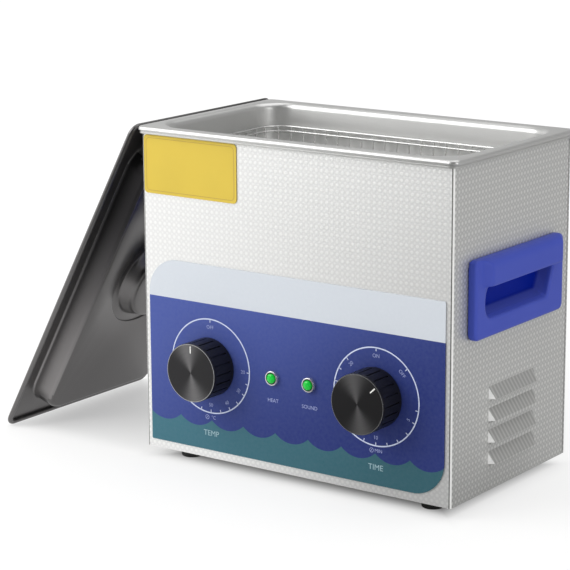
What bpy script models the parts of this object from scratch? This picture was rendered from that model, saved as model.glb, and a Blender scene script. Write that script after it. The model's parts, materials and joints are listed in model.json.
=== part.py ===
# Benchtop ultrasonic cleaner, about three litres, with its lid leaning against the left end.
# Metres, +Z up. The front faces -Y. The origin is the middle of the base plate's pressed field.
import math

import bmesh
import bpy
from mathutils import Matrix, Vector

mm = 0.001

# Clearances shared by all pieces
seat_gap = 0.3 * mm           # between pieces that touch
cut_over = 2.0 * mm           # how far a cutter runs past the face it opens

# Casing
case_width = 260.0 * mm
case_depth = 155.0 * mm
body_height = 237.3 * mm      # pressed field of the base to the top of the rim
case_sheet = 1.0 * mm
bend_radius = 1.6 * mm
rear_flange = 12.0 * mm       # returns that the rear panel is screwed to
press_depth = 1.0 * mm        # how far the base's middle is pressed down

# Base plate
base_sheet = 1.2 * mm
base_lip = 10.0 * mm
base_corner = 3.0 * mm
field_length = 172.0 * mm
field_width = 84.0 * mm
field_corner = 14.0 * mm
field_slope = 2.5 * mm
boss_height = 9.0 * mm
boss_radius = 3.5 * mm

# Feet
foot_height = 8.0 * mm
foot_radius = 9.0 * mm
foot_taper = 1.2 * mm
foot_round = 1.2 * mm
foot_recess_radius = 4.0 * mm
foot_recess_depth = 3.0 * mm
foot_inset_x = 26.0 * mm      # foot centre to the casing's end
foot_inset_y = 19.5 * mm

# Tank, one deep drawing with its rolled rim
tank_sheet = 1.0 * mm
rim_overhang = 3.5 * mm       # rim past the casing on every side
rim_drop = 5.0 * mm           # height of the rolled edge
rim_roll = 2.2 * mm
rim_lip = 0.7 * mm
rim_corner = 6.0 * mm
flange_width = 11.5 * mm
mouth_round = 4.5 * mm
mouth_corner = 22.0 * mm
tank_depth = 100.0 * mm
tank_draft = 2.0 * mm
floor_round = 8.0 * mm

# Front overlay and blank label
overlay_sheet = 0.5 * mm
overlay_width = 250.0 * mm
overlay_rise = 6.1 * mm       # above the casing's lower edge
overlay_height = 135.8 * mm
overlay_corner = 25.0 * mm
overlay_small_corner = 1.0 * mm
label_sheet = 0.3 * mm
label_width = 82.0 * mm
label_height = 42.0 * mm
label_corner = 3.0 * mm
label_side_margin = 2.0 * mm
label_top_margin = 0.8 * mm   # below the rolled edge

# Dials
dial_spread_share = 0.564     # between the two dial centres, of the overlay's width
dial_rise = 68.5 * mm         # above the casing's lower edge
knob_radius = 19.5 * mm
knob_reach = 23.0 * mm        # overlay to the knob's face
knob_running_gap = 1.0 * mm
knob_groove = 0.7 * mm
knob_groove_count = 20
knob_band = 2.0 * mm           # plain band behind the face
knob_chamfer = 0.8 * mm
pointer_width = 1.2 * mm
pointer_length = 6.0 * mm
pointer_inset = 0.3 * mm
pointer_depth = 0.3 * mm
time_rest = math.radians(47)  # the timer's OFF mark, clockwise from the top
knob_counterbore_radius = 11.0 * mm
knob_counterbore_depth = 7.0 * mm
knob_bore_depth = 17.0 * mm
shaft_radius = 3.0 * mm
shaft_end_gap = 1.0 * mm
shaft_in_body = 6.0 * mm
running_gap = 0.35 * mm       # round a turning shaft
bush_radius = 5.0 * mm
bush_reach = 4.5 * mm         # past the overlay
nut_across = 14.0 * mm
nut_height = 2.5 * mm
thermostat_size = 34.0 * mm
thermostat_depth = 22.0 * mm
timer_size = 42.0 * mm
timer_depth = 32.0 * mm
control_bevel = 1.5 * mm

# Thermostat bulb under the tank's floor and the capillary to it
bulb_radius = 3.0 * mm
bulb_length = 60.0 * mm
capillary_radius = 0.8 * mm
capillary_share = 0.33         # of the height between bulb and control, at each bend
capillary_run = 12.0 * mm
capillary_steps = 4

# Pilot lamps
lamp_spread = 31.2 * mm
lamp_bezel_radius = 5.2 * mm
lamp_bezel_height = 2.2 * mm
lamp_body_radius = 4.0 * mm
lamp_body_length = 16.0 * mm
lamp_bezel_round = 0.6 * mm
lens_radius = 3.4 * mm
lens_dome = 1.6 * mm
lens_recess = 1.2 * mm

# Louvres pressed in each end of the casing
louvre_count = 4
louvre_length = 62.0 * mm
louvre_height = 9.2 * mm
louvre_pitch = 15.3 * mm
louvre_rise = 19.5 * mm       # lowest louvre above the casing's lower edge
louvre_reach = 4.0 * mm
louvre_end = 5.0 * mm         # length of the slanted cheeks
louvre_wall_share = 1.2       # hood wall as a share of the sheet
louvre_end_share = 0.1        # how far the air space is open at a cheek

# Carrying handles
handle_length = 119.0 * mm
handle_height = 55.0 * mm
handle_rise = 109.9 * mm      # lower edge above the casing's lower edge
handle_reach = 7.0 * mm
handle_corner = 6.0 * mm
handle_edge_round = 1.5 * mm
hood_reach = 11.0 * mm
hood_height = 26.0 * mm       # from the handle's top to its gripping lip
hood_end = 20.0 * mm
hood_lip = 7.0 * mm
hood_end_shares = ((0.0, 0.0), (0.3, 0.45), (0.65, 0.85), (1.0, 1.0))
hood_section_shares = ((0.0, 1.0), (0.2, 1.0), (0.6, 0.82), (0.86, 0.45), (1.0, 0.0))
pocket_length = 90.0 * mm
pocket_foot = 11.5 * mm       # plain band under the pocket
pocket_behind = 12.0 * mm     # how far the pocket runs up behind the lip
pocket_depth = 5.3 * mm       # past the casing's outer face
pocket_slope = 2.0 * mm
pocket_round = 4.0 * mm
tub_wall = 1.6 * mm
window_gap = 0.6 * mm

# Lid
lid_length = 278.0 * mm
lid_width = 168.0 * mm
lid_sheet = 1.0 * mm
lid_corner = 16.0 * mm
lid_roll = 1.9 * mm
plug_gap = 1.2 * mm           # round the panel that enters the tank
plug_depth = 18.0 * mm
plug_draft = 2.0 * mm
plug_round = 4.0 * mm
dish_radius = 45.0 * mm
dish_step = 1.5 * mm
dish_ledge = 8.0 * mm
bowl_depth = 11.0 * mm
bowl_slope = 10.0 * mm
bowl_round = 3.0 * mm
lean_angle = math.radians(61.5)
lid_bead_share = 0.4          # centre of the rolled edge under the flange, of its radius
lid_shift_y = 2.0 * mm
grip_width = 18.0 * mm
grip_sheet = 1.5 * mm
grip_rise = 4.0 * mm
grip_foot = 9.0 * mm
grip_overlap = 10.0 * mm      # each foot of the strap past the dish

# Basket
basket_gap = 3.5 * mm         # to the tank's wall at the top
basket_drop = 13.5 * mm       # rim top to the basket's top wire
basket_taper = 7.0 * mm
basket_corner = 19.0 * mm
basket_wire = 2.4 * mm
basket_ring = 2.0 * mm
basket_upright = 1.7 * mm
basket_ring_drop = 6.5 * mm
basket_side_count = 14        # along one long side
basket_end_count = 6
basket_corner_count = 1
net_bar = 1.8 * mm
net_column_count = 8
net_row_count = 4
net_rim = 3.0 * mm            # frame round the net, less one bar
ear_size = 9.0 * mm
ear_sheet = 1.6 * mm
ear_spread = 62.0 * mm        # between a bail's two ears
ear_hang = 10.0 * mm          # bail axis below the top wire
ear_inset = 9.0 * mm          # bail axis inside the basket's outline
bail_wire_radius = 1.1 * mm
bail_eye_gap = 0.5 * mm
bail_drop = 34.0 * mm
bail_bend = 8.0 * mm
bail_end = 2.0 * mm           # past the ear
bail_side_gap = 0.6 * mm      # ear to the bail's arm
bail_eye_bend = 1.2 * mm

# Transducers under the tank
transducer_spread = 110.0 * mm
horn_radius = 22.5 * mm
horn_waist = 19.0 * mm
horn_height = 22.0 * mm
horn_land = 5.0 * mm
ceramic_radius = 18.5 * mm
ceramic_height = 12.0 * mm
mass_radius = 18.0 * mm
mass_height = 18.0 * mm
bolt_radius = 6.0 * mm
bolt_height = 6.0 * mm

# Heater pads on the tank's long walls
heater_length = 170.0 * mm
heater_height = 60.0 * mm
heater_sheet = 2.0 * mm
heater_corner = 6.0 * mm
heater_above_floor = 18.0 * mm

# Driver board
board_length = 120.0 * mm
board_width = 72.0 * mm
board_sheet = 1.6 * mm
board_margin = 6.0 * mm       # boss centre to the board's edge
board_shift_y = 4.0 * mm
sink_length = 50.0 * mm
sink_width = 24.0 * mm
sink_height = 22.0 * mm
sink_foot = 4.0 * mm
sink_fin_count = 5
sink_fin_sheet = 2.0 * mm
coil_core = 26.0 * mm
coil_height = 22.0 * mm
coil_radius = 10.5 * mm
coil_yoke = 5.0 * mm
capacitor_radius = 9.0 * mm
capacitor_height = 26.0 * mm

# Rear panel fittings
rear_sheet = 1.0 * mm
rear_screw_radius = 1.5 * mm
rear_screw_head = 3.2 * mm
rear_screw_dome = 1.8 * mm
rear_screw_length = 6.0 * mm
rear_screw_gap = 0.35 * mm
rear_screw_inset = 7.0 * mm
rear_screw_rise = 14.0 * mm
fan_size = 60.0 * mm
fan_depth = 20.0 * mm
fan_bore = 28.0 * mm
fan_corner = 4.0 * mm
fan_x = -66.0 * mm
fan_rise = 58.0 * mm
fan_hub = 13.0 * mm
fan_spider = 3.0 * mm
fan_spider_arm = 5.0 * mm
fan_pin = 1.5 * mm
rotor_hub = 13.0 * mm
rotor_radius = 26.5 * mm
rotor_depth = 12.0 * mm
rotor_blade_count = 7
rotor_blade_sheet = 1.4 * mm
rotor_blade_chord = 13.0 * mm
rotor_pitch = math.radians(38)
rotor_gap = 1.0 * mm
slot_height = 4.0 * mm
slot_pitch = 8.0 * mm
slot_count = 7
slot_field = 26.0 * mm        # radius of the slotted field
inlet_x = 72.0 * mm
inlet_share = 0.3595           # height of the inlet, of the tank's underside
inlet_flange_width = 46.0 * mm
inlet_flange_height = 34.0 * mm
inlet_flange = 2.0 * mm
inlet_body_width = 30.0 * mm
inlet_body_height = 32.0 * mm
inlet_body_depth = 24.0 * mm
inlet_bevel = 1.0 * mm
socket_width = 24.0 * mm
socket_height = 16.0 * mm
socket_depth = 16.0 * mm
socket_chamfer = 4.0 * mm
socket_shift = 5.0 * mm
pin_width = 2.0 * mm
pin_height = 4.0 * mm
pin_length = 13.0 * mm
pin_spread = 14.0 * mm
pin_offset = 2.5 * mm
drawer_width = 22.0 * mm
drawer_height = 7.0 * mm
drawer_depth = 18.0 * mm
drawer_shift = -10.5 * mm
drawer_gap = 0.35 * mm
drawer_pull = 1.2 * mm
switch_share = 0.6823
switch_width = 15.0 * mm
switch_height = 21.0 * mm
switch_bezel = 2.0 * mm
switch_body_depth = 16.0 * mm
switch_wall = 2.0 * mm
switch_recess = 9.0 * mm
rocker_gap = 0.45 * mm
rocker_tilt = math.radians(11)
rocker_axis_depth = 1.5 * mm
rocker_reach = 2.2 * mm
rocker_belly = 3.0 * mm
rocker_dip = 0.8 * mm
rocker_pin_radius = 1.0 * mm

# Facets
corner_steps = 4
round_steps = 3
bead_steps = 5
lean_steps = 60
bend_steps = 5
merge_distance = 0.001 * mm
disc_steps = 20
small_steps = 12
foot_steps = 12
lamp_steps = 12
knob_steps = 2 * knob_groove_count

# Heights and places worked out from the sizes above
front_y = -case_depth / 2
rear_y = case_depth / 2
end_x = case_width / 2
case_bottom = press_depth
flange_under = body_height - tank_sheet
case_top = flange_under - seat_gap
rim_under = body_height - rim_drop
panel_back = rear_y - rear_sheet          # inner face of the rear panel
wrap_rear = panel_back - seat_gap         # outer face of the wrap's returns
overlay_front = front_y - seat_gap - overlay_sheet
tank_floor = body_height - tank_depth
tank_under = tank_floor - tank_sheet
floor_level = case_bottom - seat_gap - foot_height
dial_z = case_bottom + dial_rise
dial_spread = dial_spread_share * overlay_width
mouth_x = end_x + rim_overhang - flange_width
mouth_y = rear_y + rim_overhang - flange_width
boss_top = base_sheet + boss_height
fan_z = case_bottom + fan_rise
inlet_z = inlet_share * tank_under
switch_z = switch_share * tank_under
tub_half = pocket_length / 2 + tub_wall
pocket_top = handle_height - hood_height + pocket_behind
basket_x = mouth_x - basket_gap
basket_y = mouth_y - basket_gap
basket_top = body_height - basket_drop
basket_foot = tank_floor + net_bar + 2 * seat_gap
bail_x = basket_x - ear_inset
bail_z = basket_top - ear_hang
plug_x = mouth_x - plug_gap
plug_y = mouth_y - plug_gap
plug_corner = mouth_corner - plug_gap


def clear_scene():
    for item in list(bpy.data.objects):
        bpy.data.objects.remove(item, do_unlink=True)


def finish(name, colour, roughness, metallic):
    material = bpy.data.materials.new(name)
    material.use_nodes = True
    shader = material.node_tree.nodes["Principled BSDF"]
    shader.inputs["Base Color"].default_value = (*colour, 1.0)
    shader.inputs["Roughness"].default_value = roughness
    shader.inputs["Metallic"].default_value = metallic
    return material


def make_object(name, bm, material=None, smooth=None):
    # Turns a bmesh into an object of its own, shaded soft below an angle in degrees.
    mesh = bpy.data.meshes.new(name)
    bmesh.ops.recalc_face_normals(bm, faces=bm.faces)
    bm.to_mesh(mesh)
    bm.free()
    if material:
        mesh.materials.append(material)
    if smooth:
        mesh.shade_smooth()
        mesh.set_sharp_from_angle(angle=math.radians(smooth))
    item = bpy.data.objects.new(name, mesh)
    bpy.context.collection.objects.link(item)
    return item


def combine(item, other, operation):
    # Adds or cuts with another object, which stays as a hidden guide.
    other.hide_render = True
    other.display_type = "WIRE"
    step = item.modifiers.new(operation.lower(), "BOOLEAN")
    step.operation = operation
    step.object = other


def cut(item, *others):
    for other in others:
        combine(item, other, "DIFFERENCE")
    return item


def weld(item, *others):
    for other in others:
        combine(item, other, "UNION")
    return item


def bevel(item, width, segments=2):
    step = item.modifiers.new("edges", "BEVEL")
    step.width = width
    step.segments = segments
    step.limit_method = "ANGLE"
    return item


def rounded(half_x, half_y, radius, z, centre_y=0.0):
    # Points of a rounded rectangle, counter-clockwise; radius is one value or four.
    radii = radius if isinstance(radius, tuple) else (radius,) * 4
    points = []
    for turn, (sx, sy) in enumerate(((1, 1), (-1, 1), (-1, -1), (1, -1))):
        for step in range(corner_steps + 1):
            angle = math.pi / 2 * (turn + step / corner_steps)
            points.append((sx * (half_x - radii[turn]) + radii[turn] * math.cos(angle),
                           sy * (half_y - radii[turn]) + radii[turn] * math.sin(angle)
                           + centre_y, z))
    return points


def ring(radius, z, steps=disc_steps):
    # Points of a circle; the radius may be a function of the point's number.
    points = []
    for step in range(steps):
        angle = 2 * math.pi * step / steps
        reach = radius(step) if callable(radius) else radius
        points.append((reach * math.cos(angle), reach * math.sin(angle), z))
    return points


def arc(centre, radius, start, end, steps):
    # Points of an arc in a profile's plane, angles in degrees, both ends kept.
    points = []
    for step in range(steps + 1):
        angle = math.radians(start + (end - start) * step / steps)
        points.append((centre[0] + radius * math.cos(angle), centre[1] + radius * math.sin(angle)))
    return points


def offset_line(points, distance):
    # An open profile moved sideways to its left, with mitred corners.
    moved = []
    for index, point in enumerate(points):
        normals = []
        for start, end in ((index - 1, index), (index, index + 1)):
            if start >= 0 and end < len(points):
                dx = points[end][0] - points[start][0]
                dz = points[end][1] - points[start][1]
                normals.append((-dz / math.hypot(dx, dz), dx / math.hypot(dx, dz)))
        nx = sum(normal[0] for normal in normals) / len(normals)
        nz = sum(normal[1] for normal in normals) / len(normals)
        scale = distance / (nx * nx + nz * nz)
        moved.append((point[0] + nx * scale, point[1] + nz * scale))
    return moved


def loft(loops, closed=False):
    # Skins loops of equal length in turn; the two ends are capped unless closed.
    bm = bmesh.new()
    rows = [[bm.verts.new(point) for point in loop] for loop in loops]
    pairs = list(zip(rows, rows[1:]))
    if closed:
        pairs.append((rows[-1], rows[0]))
    for low, high in pairs:
        for index in range(len(low)):
            after = (index + 1) % len(low)
            bm.faces.new((low[index], low[after], high[after], high[index]))
    if not closed:
        bm.faces.new(rows[0][::-1])
        bm.faces.new(rows[-1])
    bmesh.ops.remove_doubles(bm, verts=bm.verts, dist=merge_distance)
    return bm


def prism(points, depth, start=0.0):
    # A flat outline extruded along +Z.
    return loft([[(x, y, start) for x, y in points], [(x, y, start + depth) for x, y in points]])


def span(low, high):
    # A box between two corners.
    outline = [(high[0], high[1]), (low[0], high[1]), (low[0], low[1]), (high[0], low[1])]
    return prism(outline, high[2] - low[2], low[2])


def between(*pairs):
    # A box between two limits along each axis, given in any order.
    return span(*zip(*(sorted(pair) for pair in pairs)))


def block(size_x, size_y, size_z, start=0.0):
    # A box centred on the Z axis.
    return span((-size_x / 2, -size_y / 2, start), (size_x / 2, size_y / 2, start + size_z))


def cylinder(radius, height, start=0.0, steps=disc_steps):
    return loft([ring(radius, start, steps), ring(radius, start + height, steps)])


def shifted(bm, x=0.0, y=0.0, z=0.0):
    bmesh.ops.translate(bm, verts=bm.verts, vec=(x, y, z))
    return bm


def gather(parts):
    # Several closed bodies in one mesh, for a guide that adds or cuts them all.
    whole = bmesh.new()
    for part in parts:
        mesh = bpy.data.meshes.new("part")
        part.to_mesh(mesh)
        part.free()
        whole.from_mesh(mesh)
        bpy.data.meshes.remove(mesh)
    return whole


def place(item, x=0.0, y=0.0, z=0.0, turn=(0.0, 0.0, 0.0), parent=None):
    item.location = (x, y, z)
    item.rotation_euler = turn
    item.parent = parent
    return item


def pivot(name, x, y, z):
    # An empty on a joint's axis, which carries a moving piece.
    item = bpy.data.objects.new(name, None)
    bpy.context.collection.objects.link(item)
    return place(item, x, y, z)


# Local +Z turns to the face that a piece is fitted on, and local +Y stays up
to_front = (math.pi / 2, 0.0, 0.0)
to_rear = (math.pi / 2, 0.0, math.pi)
to_right = (math.pi / 2, 0.0, math.pi / 2)
to_left = (math.pi / 2, 0.0, -math.pi / 2)
ends = (("right", 1, to_right), ("left", -1, to_left))


def front_holes(spread, radius):
    # Two round cutters through the front wall and the overlay, at dial height.
    length = case_sheet + seat_gap + overlay_sheet + 2 * cut_over
    holes = []
    for sign in (-1, 1):
        hole = make_object("front_hole", cylinder(radius, length, 0.0, small_steps))
        place(hole, sign * spread / 2, front_y + case_sheet + cut_over, dial_z, to_front)
        holes.append(hole)
    return holes


def casing_outline():
    # Plan of the bent sheet: a return, one end, the front, the other end, a return.
    outer = [(-end_x + rear_flange, wrap_rear)]
    inner = [(-end_x + rear_flange, wrap_rear - case_sheet)]
    across = end_x - bend_radius
    near = front_y + bend_radius
    far = wrap_rear - bend_radius
    for centre, start in (((-across, far), 90), ((-across, near), 180),
                          ((across, near), 270), ((across, far), 360)):
        outer += arc(centre, bend_radius, start, start + 90, bend_steps)
        inner += arc(centre, bend_radius - case_sheet, start, start + 90, bend_steps)
    outer.append((end_x - rear_flange, wrap_rear))
    inner.append((end_x - rear_flange, wrap_rear - case_sheet))
    return outer + inner[::-1]


def louvre_stations(points_at):
    # Skins a louvre's section along its length, from one slanted cheek to the other.
    half = louvre_length / 2
    stations = ((-half, 0.0), (-half + louvre_end, 1.0), (half - louvre_end, 1.0), (half, 0.0))
    return loft([[(x, y, z) for y, z in points_at(share)] for x, share in stations])


def louvre_hood(low):
    buried = -case_sheet / 2
    skin = -case_sheet / 4
    return louvre_stations(lambda share: (
        (low, buried), (low + louvre_height, buried), (low + louvre_height, skin),
        (low, skin + (louvre_reach - skin) * share)))


def louvre_way(low):
    # The air's way in: up behind the hood, whose lower edge is open, and through the wall.
    inside = -case_sheet - cut_over
    skin = -case_sheet / 2
    wall = louvre_wall_share * case_sheet
    top = low + louvre_height - wall
    room = louvre_reach - wall
    reach = room + room / (top - low) * cut_over
    way = louvre_stations(lambda share: (
        (low + wall, inside), (top, inside), (top, skin),
        (low - cut_over, skin + (reach - skin) * max(share, louvre_end_share)),
        (low - cut_over, skin), (low + wall, skin)))
    length_share = 1.0 - 2 * wall / louvre_length
    bmesh.ops.scale(way, verts=way.verts, vec=(length_share, 1, 1))
    return way


def make_casing_wrap():
    wrap = make_object("casing_wrap", prism(casing_outline(), case_top - case_bottom), steel, 20)
    place(wrap, z=case_bottom)
    lows = [louvre_rise + row * louvre_pitch for row in range(louvre_count)]
    for side, sign, turn in ends:
        for operation, shape in (("UNION", louvre_hood), ("DIFFERENCE", louvre_way)):
            guide = make_object(shape.__name__, gather([shape(low) for low in lows]))
            place(guide, sign * end_x, 0.0, case_bottom, turn)
            combine(wrap, guide, operation)
        window = make_object("handle_window", span(
            (-tub_half - window_gap, pocket_foot - tub_wall - window_gap, -case_sheet - cut_over),
            (tub_half + window_gap, pocket_top + tub_wall + window_gap, cut_over)))
        cut(wrap, place(window, sign * end_x, 0.0, case_bottom + handle_rise, turn))
    cut(wrap, *front_holes(dial_spread, bush_radius + running_gap))
    cut(wrap, *front_holes(lamp_spread, lamp_body_radius + running_gap))
    return cut(wrap, *rear_screw_holes())


def rear_screw_places():
    return [(sign * (end_x - rear_screw_inset), level) for sign in (-1, 1)
            for level in (case_bottom + rear_screw_rise, case_top - rear_screw_rise)]


def rear_screw_holes():
    holes = []
    length = rear_sheet + seat_gap + case_sheet + 2 * cut_over
    for x, z in rear_screw_places():
        hole = make_object("screw_hole", cylinder(
            rear_screw_radius + rear_screw_gap, length, 0.0, small_steps))
        holes.append(place(hole, x, rear_y + cut_over - length, z, to_rear))
    return holes


def make_rear_panel():
    panel = make_object("rear_panel", span((-end_x, panel_back, case_bottom),
                                           (end_x, rear_y, case_top)), steel)
    slots = []
    for index in range(slot_count):
        level = (index - (slot_count - 1) / 2) * slot_pitch
        length = 2 * math.sqrt(slot_field ** 2 - level ** 2)
        slots.append(shifted(block(length, slot_height, rear_sheet + 2 * cut_over,
                                   -rear_sheet - cut_over), y=level))
    cut(panel, place(make_object("fan_slots", gather(slots)), fan_x, rear_y, fan_z, to_rear))
    for name, x, z, width, height in (
            ("inlet_window", inlet_x, inlet_z, inlet_body_width, inlet_body_height),
            ("switch_window", inlet_x, switch_z, switch_width, switch_height)):
        window = make_object(name, block(width + 2 * window_gap, height + 2 * window_gap,
                                         rear_sheet + 2 * cut_over, -rear_sheet - cut_over))
        cut(panel, place(window, x, rear_y, z, to_rear))
    cut(panel, *rear_screw_holes())
    for index, (x, z) in enumerate(rear_screw_places()):
        screw = loft([ring(rear_screw_radius, -rear_screw_length, small_steps),
                      ring(rear_screw_radius, 0.0, small_steps),
                      ring(rear_screw_head, 0.0, small_steps),
                      ring(rear_screw_head, rear_screw_dome * 0.35, small_steps),
                      ring(rear_screw_head * 0.8, rear_screw_dome * 0.8, small_steps),
                      ring(rear_screw_head * 0.4, rear_screw_dome, small_steps)])
        place(make_object(f"rear_screw_{index + 1}", screw, bright_metal, 40),
              x, rear_y + seat_gap, z, to_rear)


def make_base_plate():
    # A tray with its lips inside the casing and a pressed-down field in the middle.
    half_x = end_x - case_sheet - seat_gap
    front = front_y + case_sheet + seat_gap
    back = wrap_rear - case_sheet - seat_gap
    half_y = (back - front) / 2
    middle = (back + front) / 2
    level = case_bottom
    top = level + base_sheet
    lip = level + base_lip
    inner_corner = base_corner - base_sheet
    inner_x = half_x - base_sheet
    inner_y = half_y - base_sheet
    slope_x = field_length / 2 - field_slope
    slope_y = field_width / 2 - field_slope
    plate = make_object("base_plate", loft([
        rounded(slope_x, slope_y, field_corner, 0.0),
        rounded(field_length / 2, field_width / 2, field_corner, level),
        rounded(half_x, half_y, base_corner, level, middle),
        rounded(half_x, half_y, base_corner, lip, middle),
        rounded(inner_x, inner_y, inner_corner, lip, middle),
        rounded(inner_x, inner_y, inner_corner, top, middle),
        rounded(field_length / 2, field_width / 2, field_corner, top),
        rounded(slope_x, slope_y, field_corner, base_sheet)]), steel, 30)
    bosses = [shifted(cylinder(boss_radius, boss_top - base_sheet / 2, base_sheet / 2, small_steps), x, y)
              for x, y in board_corners()]
    return weld(plate, make_object("board_bosses", gather(bosses)))


def board_corners():
    half_x = board_length / 2 - board_margin
    half_y = board_width / 2 - board_margin
    return [(sx * half_x, sy * half_y + board_shift_y) for sx in (-1, 1) for sy in (-1, 1)]


def make_feet():
    rim = foot_radius - foot_taper
    shape = (("foot_front_left", -1, -1), ("foot_front_right", 1, -1),
             ("foot_rear_left", -1, 1), ("foot_rear_right", 1, 1))
    for name, sx, sy in shape:
        foot = loft([ring(foot_recess_radius, foot_recess_depth, foot_steps),
                     ring(foot_recess_radius, 0.0, foot_steps),
                     ring(rim - foot_round, 0.0, foot_steps),
                     ring(rim, foot_round, foot_steps),
                     ring(foot_radius, foot_height, foot_steps)])
        place(make_object(name, foot, rubber, 40), sx * (end_x - foot_inset_x),
              sy * (rear_y - foot_inset_y), floor_level)


def tank_loop(point):
    # A rounded rectangle at a distance outside the tank's mouth.
    reach, z = point
    flat = flange_width - rim_overhang
    if reach <= 0.0:
        corner = mouth_corner + reach
    elif reach < flat:
        corner = mouth_corner + (rim_corner - rim_overhang - mouth_corner) * reach / flat
    else:
        corner = rim_corner + reach - flange_width
    return rounded(mouth_x + reach, mouth_y + reach, corner, z)


def make_tank():
    # Inner floor, wall, rounded mouth, flange, rolled edge and lip, then back underneath.
    roll_x = flange_width - rim_lip - rim_roll
    line = arc((-tank_draft - floor_round, tank_floor + floor_round), floor_round, 270, 360, 3)
    line += arc((mouth_round, body_height - mouth_round), mouth_round, 180, 90, 3)
    line += arc((roll_x, body_height - rim_roll), rim_roll, 90, 0, 3)
    line += [(flange_width - rim_lip, rim_under + 2 * rim_lip),
             (flange_width, rim_under + rim_lip), (flange_width, rim_under)]
    under = offset_line(line, -tank_sheet)
    loops = [tank_loop(point) for point in line + under[::-1]]
    return make_object("tank", loft(loops), satin_steel, 35)


def make_overlay_and_label():
    half_x = overlay_width / 2
    half_y = overlay_height / 2
    corners = (overlay_small_corner, overlay_corner, overlay_small_corner, overlay_corner)
    overlay = make_object("fascia_overlay", loft([
        rounded(half_x, half_y, corners, 0.0),
        rounded(half_x, half_y, corners, overlay_sheet)]), blue_print)
    place(overlay, 0.0, front_y - seat_gap, case_bottom + overlay_rise + half_y, to_front)
    cut(overlay, *front_holes(dial_spread, bush_radius + running_gap))
    cut(overlay, *front_holes(lamp_spread, lamp_body_radius + running_gap))
    label = make_object("blank_label", loft([
        rounded(label_width / 2, label_height / 2, label_corner, 0.0),
        rounded(label_width / 2, label_height / 2, label_corner, label_sheet)]), yellow_print)
    place(label, -end_x + label_side_margin + label_width / 2, front_y - seat_gap,
          rim_under - label_top_margin - label_height / 2, to_front)


def make_dial(name, sign, body_size, body_depth, rest_turn):
    # Knob and shaft turn together; the bush, its nut and the switch body stay.
    x = sign * dial_spread / 2
    back_y = overlay_front - knob_running_gap
    length = knob_reach - knob_running_gap
    axis = pivot(name + "_axis", x, back_y, dial_z)

    def grooved(step):
        return knob_radius - (knob_groove if step % 2 else 0.0)

    knob = make_object(name + "_knob", loft([
        ring(knob_radius - knob_groove, 0.0, knob_steps),
        ring(grooved, knob_groove, knob_steps),
        ring(grooved, length - knob_band, knob_steps),
        ring(knob_radius, length - knob_band, knob_steps),
        ring(knob_radius, length - knob_chamfer, knob_steps),
        ring(knob_radius - knob_chamfer, length, knob_steps)]), black_metal, 25)
    hollow = make_object("knob_hollow", cylinder(
        knob_counterbore_radius, knob_counterbore_depth + cut_over, -cut_over))
    socket = make_object("knob_socket", cylinder(
        shaft_radius + seat_gap, knob_bore_depth + cut_over, -cut_over, small_steps))
    notch = make_object("pointer_notch", span(
        (-pointer_width / 2, knob_radius - knob_chamfer - pointer_length - pointer_inset,
         length - pointer_depth),
        (pointer_width / 2, knob_radius - knob_chamfer - pointer_inset, length + cut_over)))
    turn = (math.pi / 2, rest_turn, 0.0)
    for item in (knob, hollow, socket, notch):
        place(item, turn=turn, parent=axis)
    cut(knob, hollow, socket, notch)

    body_front = back_y - front_y - case_sheet - seat_gap
    shaft_start = body_front - shaft_in_body
    shaft_end = knob_bore_depth - shaft_end_gap
    shaft = make_object(name + "_shaft", cylinder(
        shaft_radius, shaft_end - shaft_start, shaft_start, small_steps), bright_metal, 40)
    place(shaft, turn=turn, parent=axis)

    nut_low = seat_gap - knob_running_gap
    hole = bush_radius + seat_gap

    def hexagon(step):
        return nut_across / 2 / (math.cos(math.pi / 6) if step % 2 == 0 else 1.0)

    nut = make_object(name + "_nut", loft([
        ring(hexagon, nut_low, small_steps), ring(hexagon, nut_low + nut_height, small_steps),
        ring(hole, nut_low + nut_height, small_steps), ring(hole, nut_low, small_steps)],
        closed=True), bright_metal)
    place(nut, x, back_y, dial_z, to_front)

    body = make_object(name + "_body", block(
        body_size, body_size, body_depth, body_front - body_depth), white_plastic)
    bevel(body, control_bevel, 1)
    bush = make_object("bush", cylinder(bush_radius, bush_reach - knob_running_gap
                                        - body_front + cut_over, body_front - cut_over))
    bore = make_object("bore", cylinder(
        shaft_radius + running_gap, shaft_in_body + cut_over + bush_reach - body_front,
        shaft_start - shaft_end_gap, small_steps))
    for item in (body, bush, bore):
        place(item, x, back_y, dial_z, to_front)
    cut(weld(body, bush), bore)


def make_bulb_and_capillary():
    # The thermostat's sensing bulb lies under the tank's floor, between the transducers.
    z = tank_under - seat_gap - bulb_radius
    bulb = make_object("thermostat_bulb", loft([
        ring(bulb_radius * 0.5, -bulb_length / 2, small_steps),
        ring(bulb_radius, -bulb_length / 2 + bulb_radius, small_steps),
        ring(bulb_radius, bulb_length / 2 - bulb_radius, small_steps),
        ring(bulb_radius * 0.5, bulb_length / 2, small_steps)]), copper, 40)
    place(bulb, 0.0, 0.0, z, to_front)
    start = Vector((0.0, -bulb_length / 2 - seat_gap, z))
    body_top = dial_z + thermostat_size / 2 + seat_gap
    body_middle = front_y + case_sheet + seat_gap + thermostat_depth / 2
    end = Vector((-dial_spread / 2, body_middle, body_top))
    drop = capillary_share * (z - body_top)
    route = [start, start + Vector((0.0, -capillary_run, 0.0)),
             Vector((end.x / 2, body_middle, z - drop)),
             end + Vector((0.0, 0.0, drop)), end]
    curve = bpy.data.curves.new("capillary", "CURVE")
    curve.dimensions = "3D"
    curve.bevel_depth = capillary_radius
    curve.bevel_resolution = 1
    curve.use_fill_caps = True
    points = smooth_route(route, capillary_steps)
    spline = curve.splines.new("POLY")
    spline.points.add(len(points) - 1)
    for item, point in zip(spline.points, points):
        item.co = (*point, 1.0)
    curve.materials.append(copper)
    tube = bpy.data.objects.new("thermostat_capillary", curve)
    bpy.context.collection.objects.link(tube)


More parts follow.
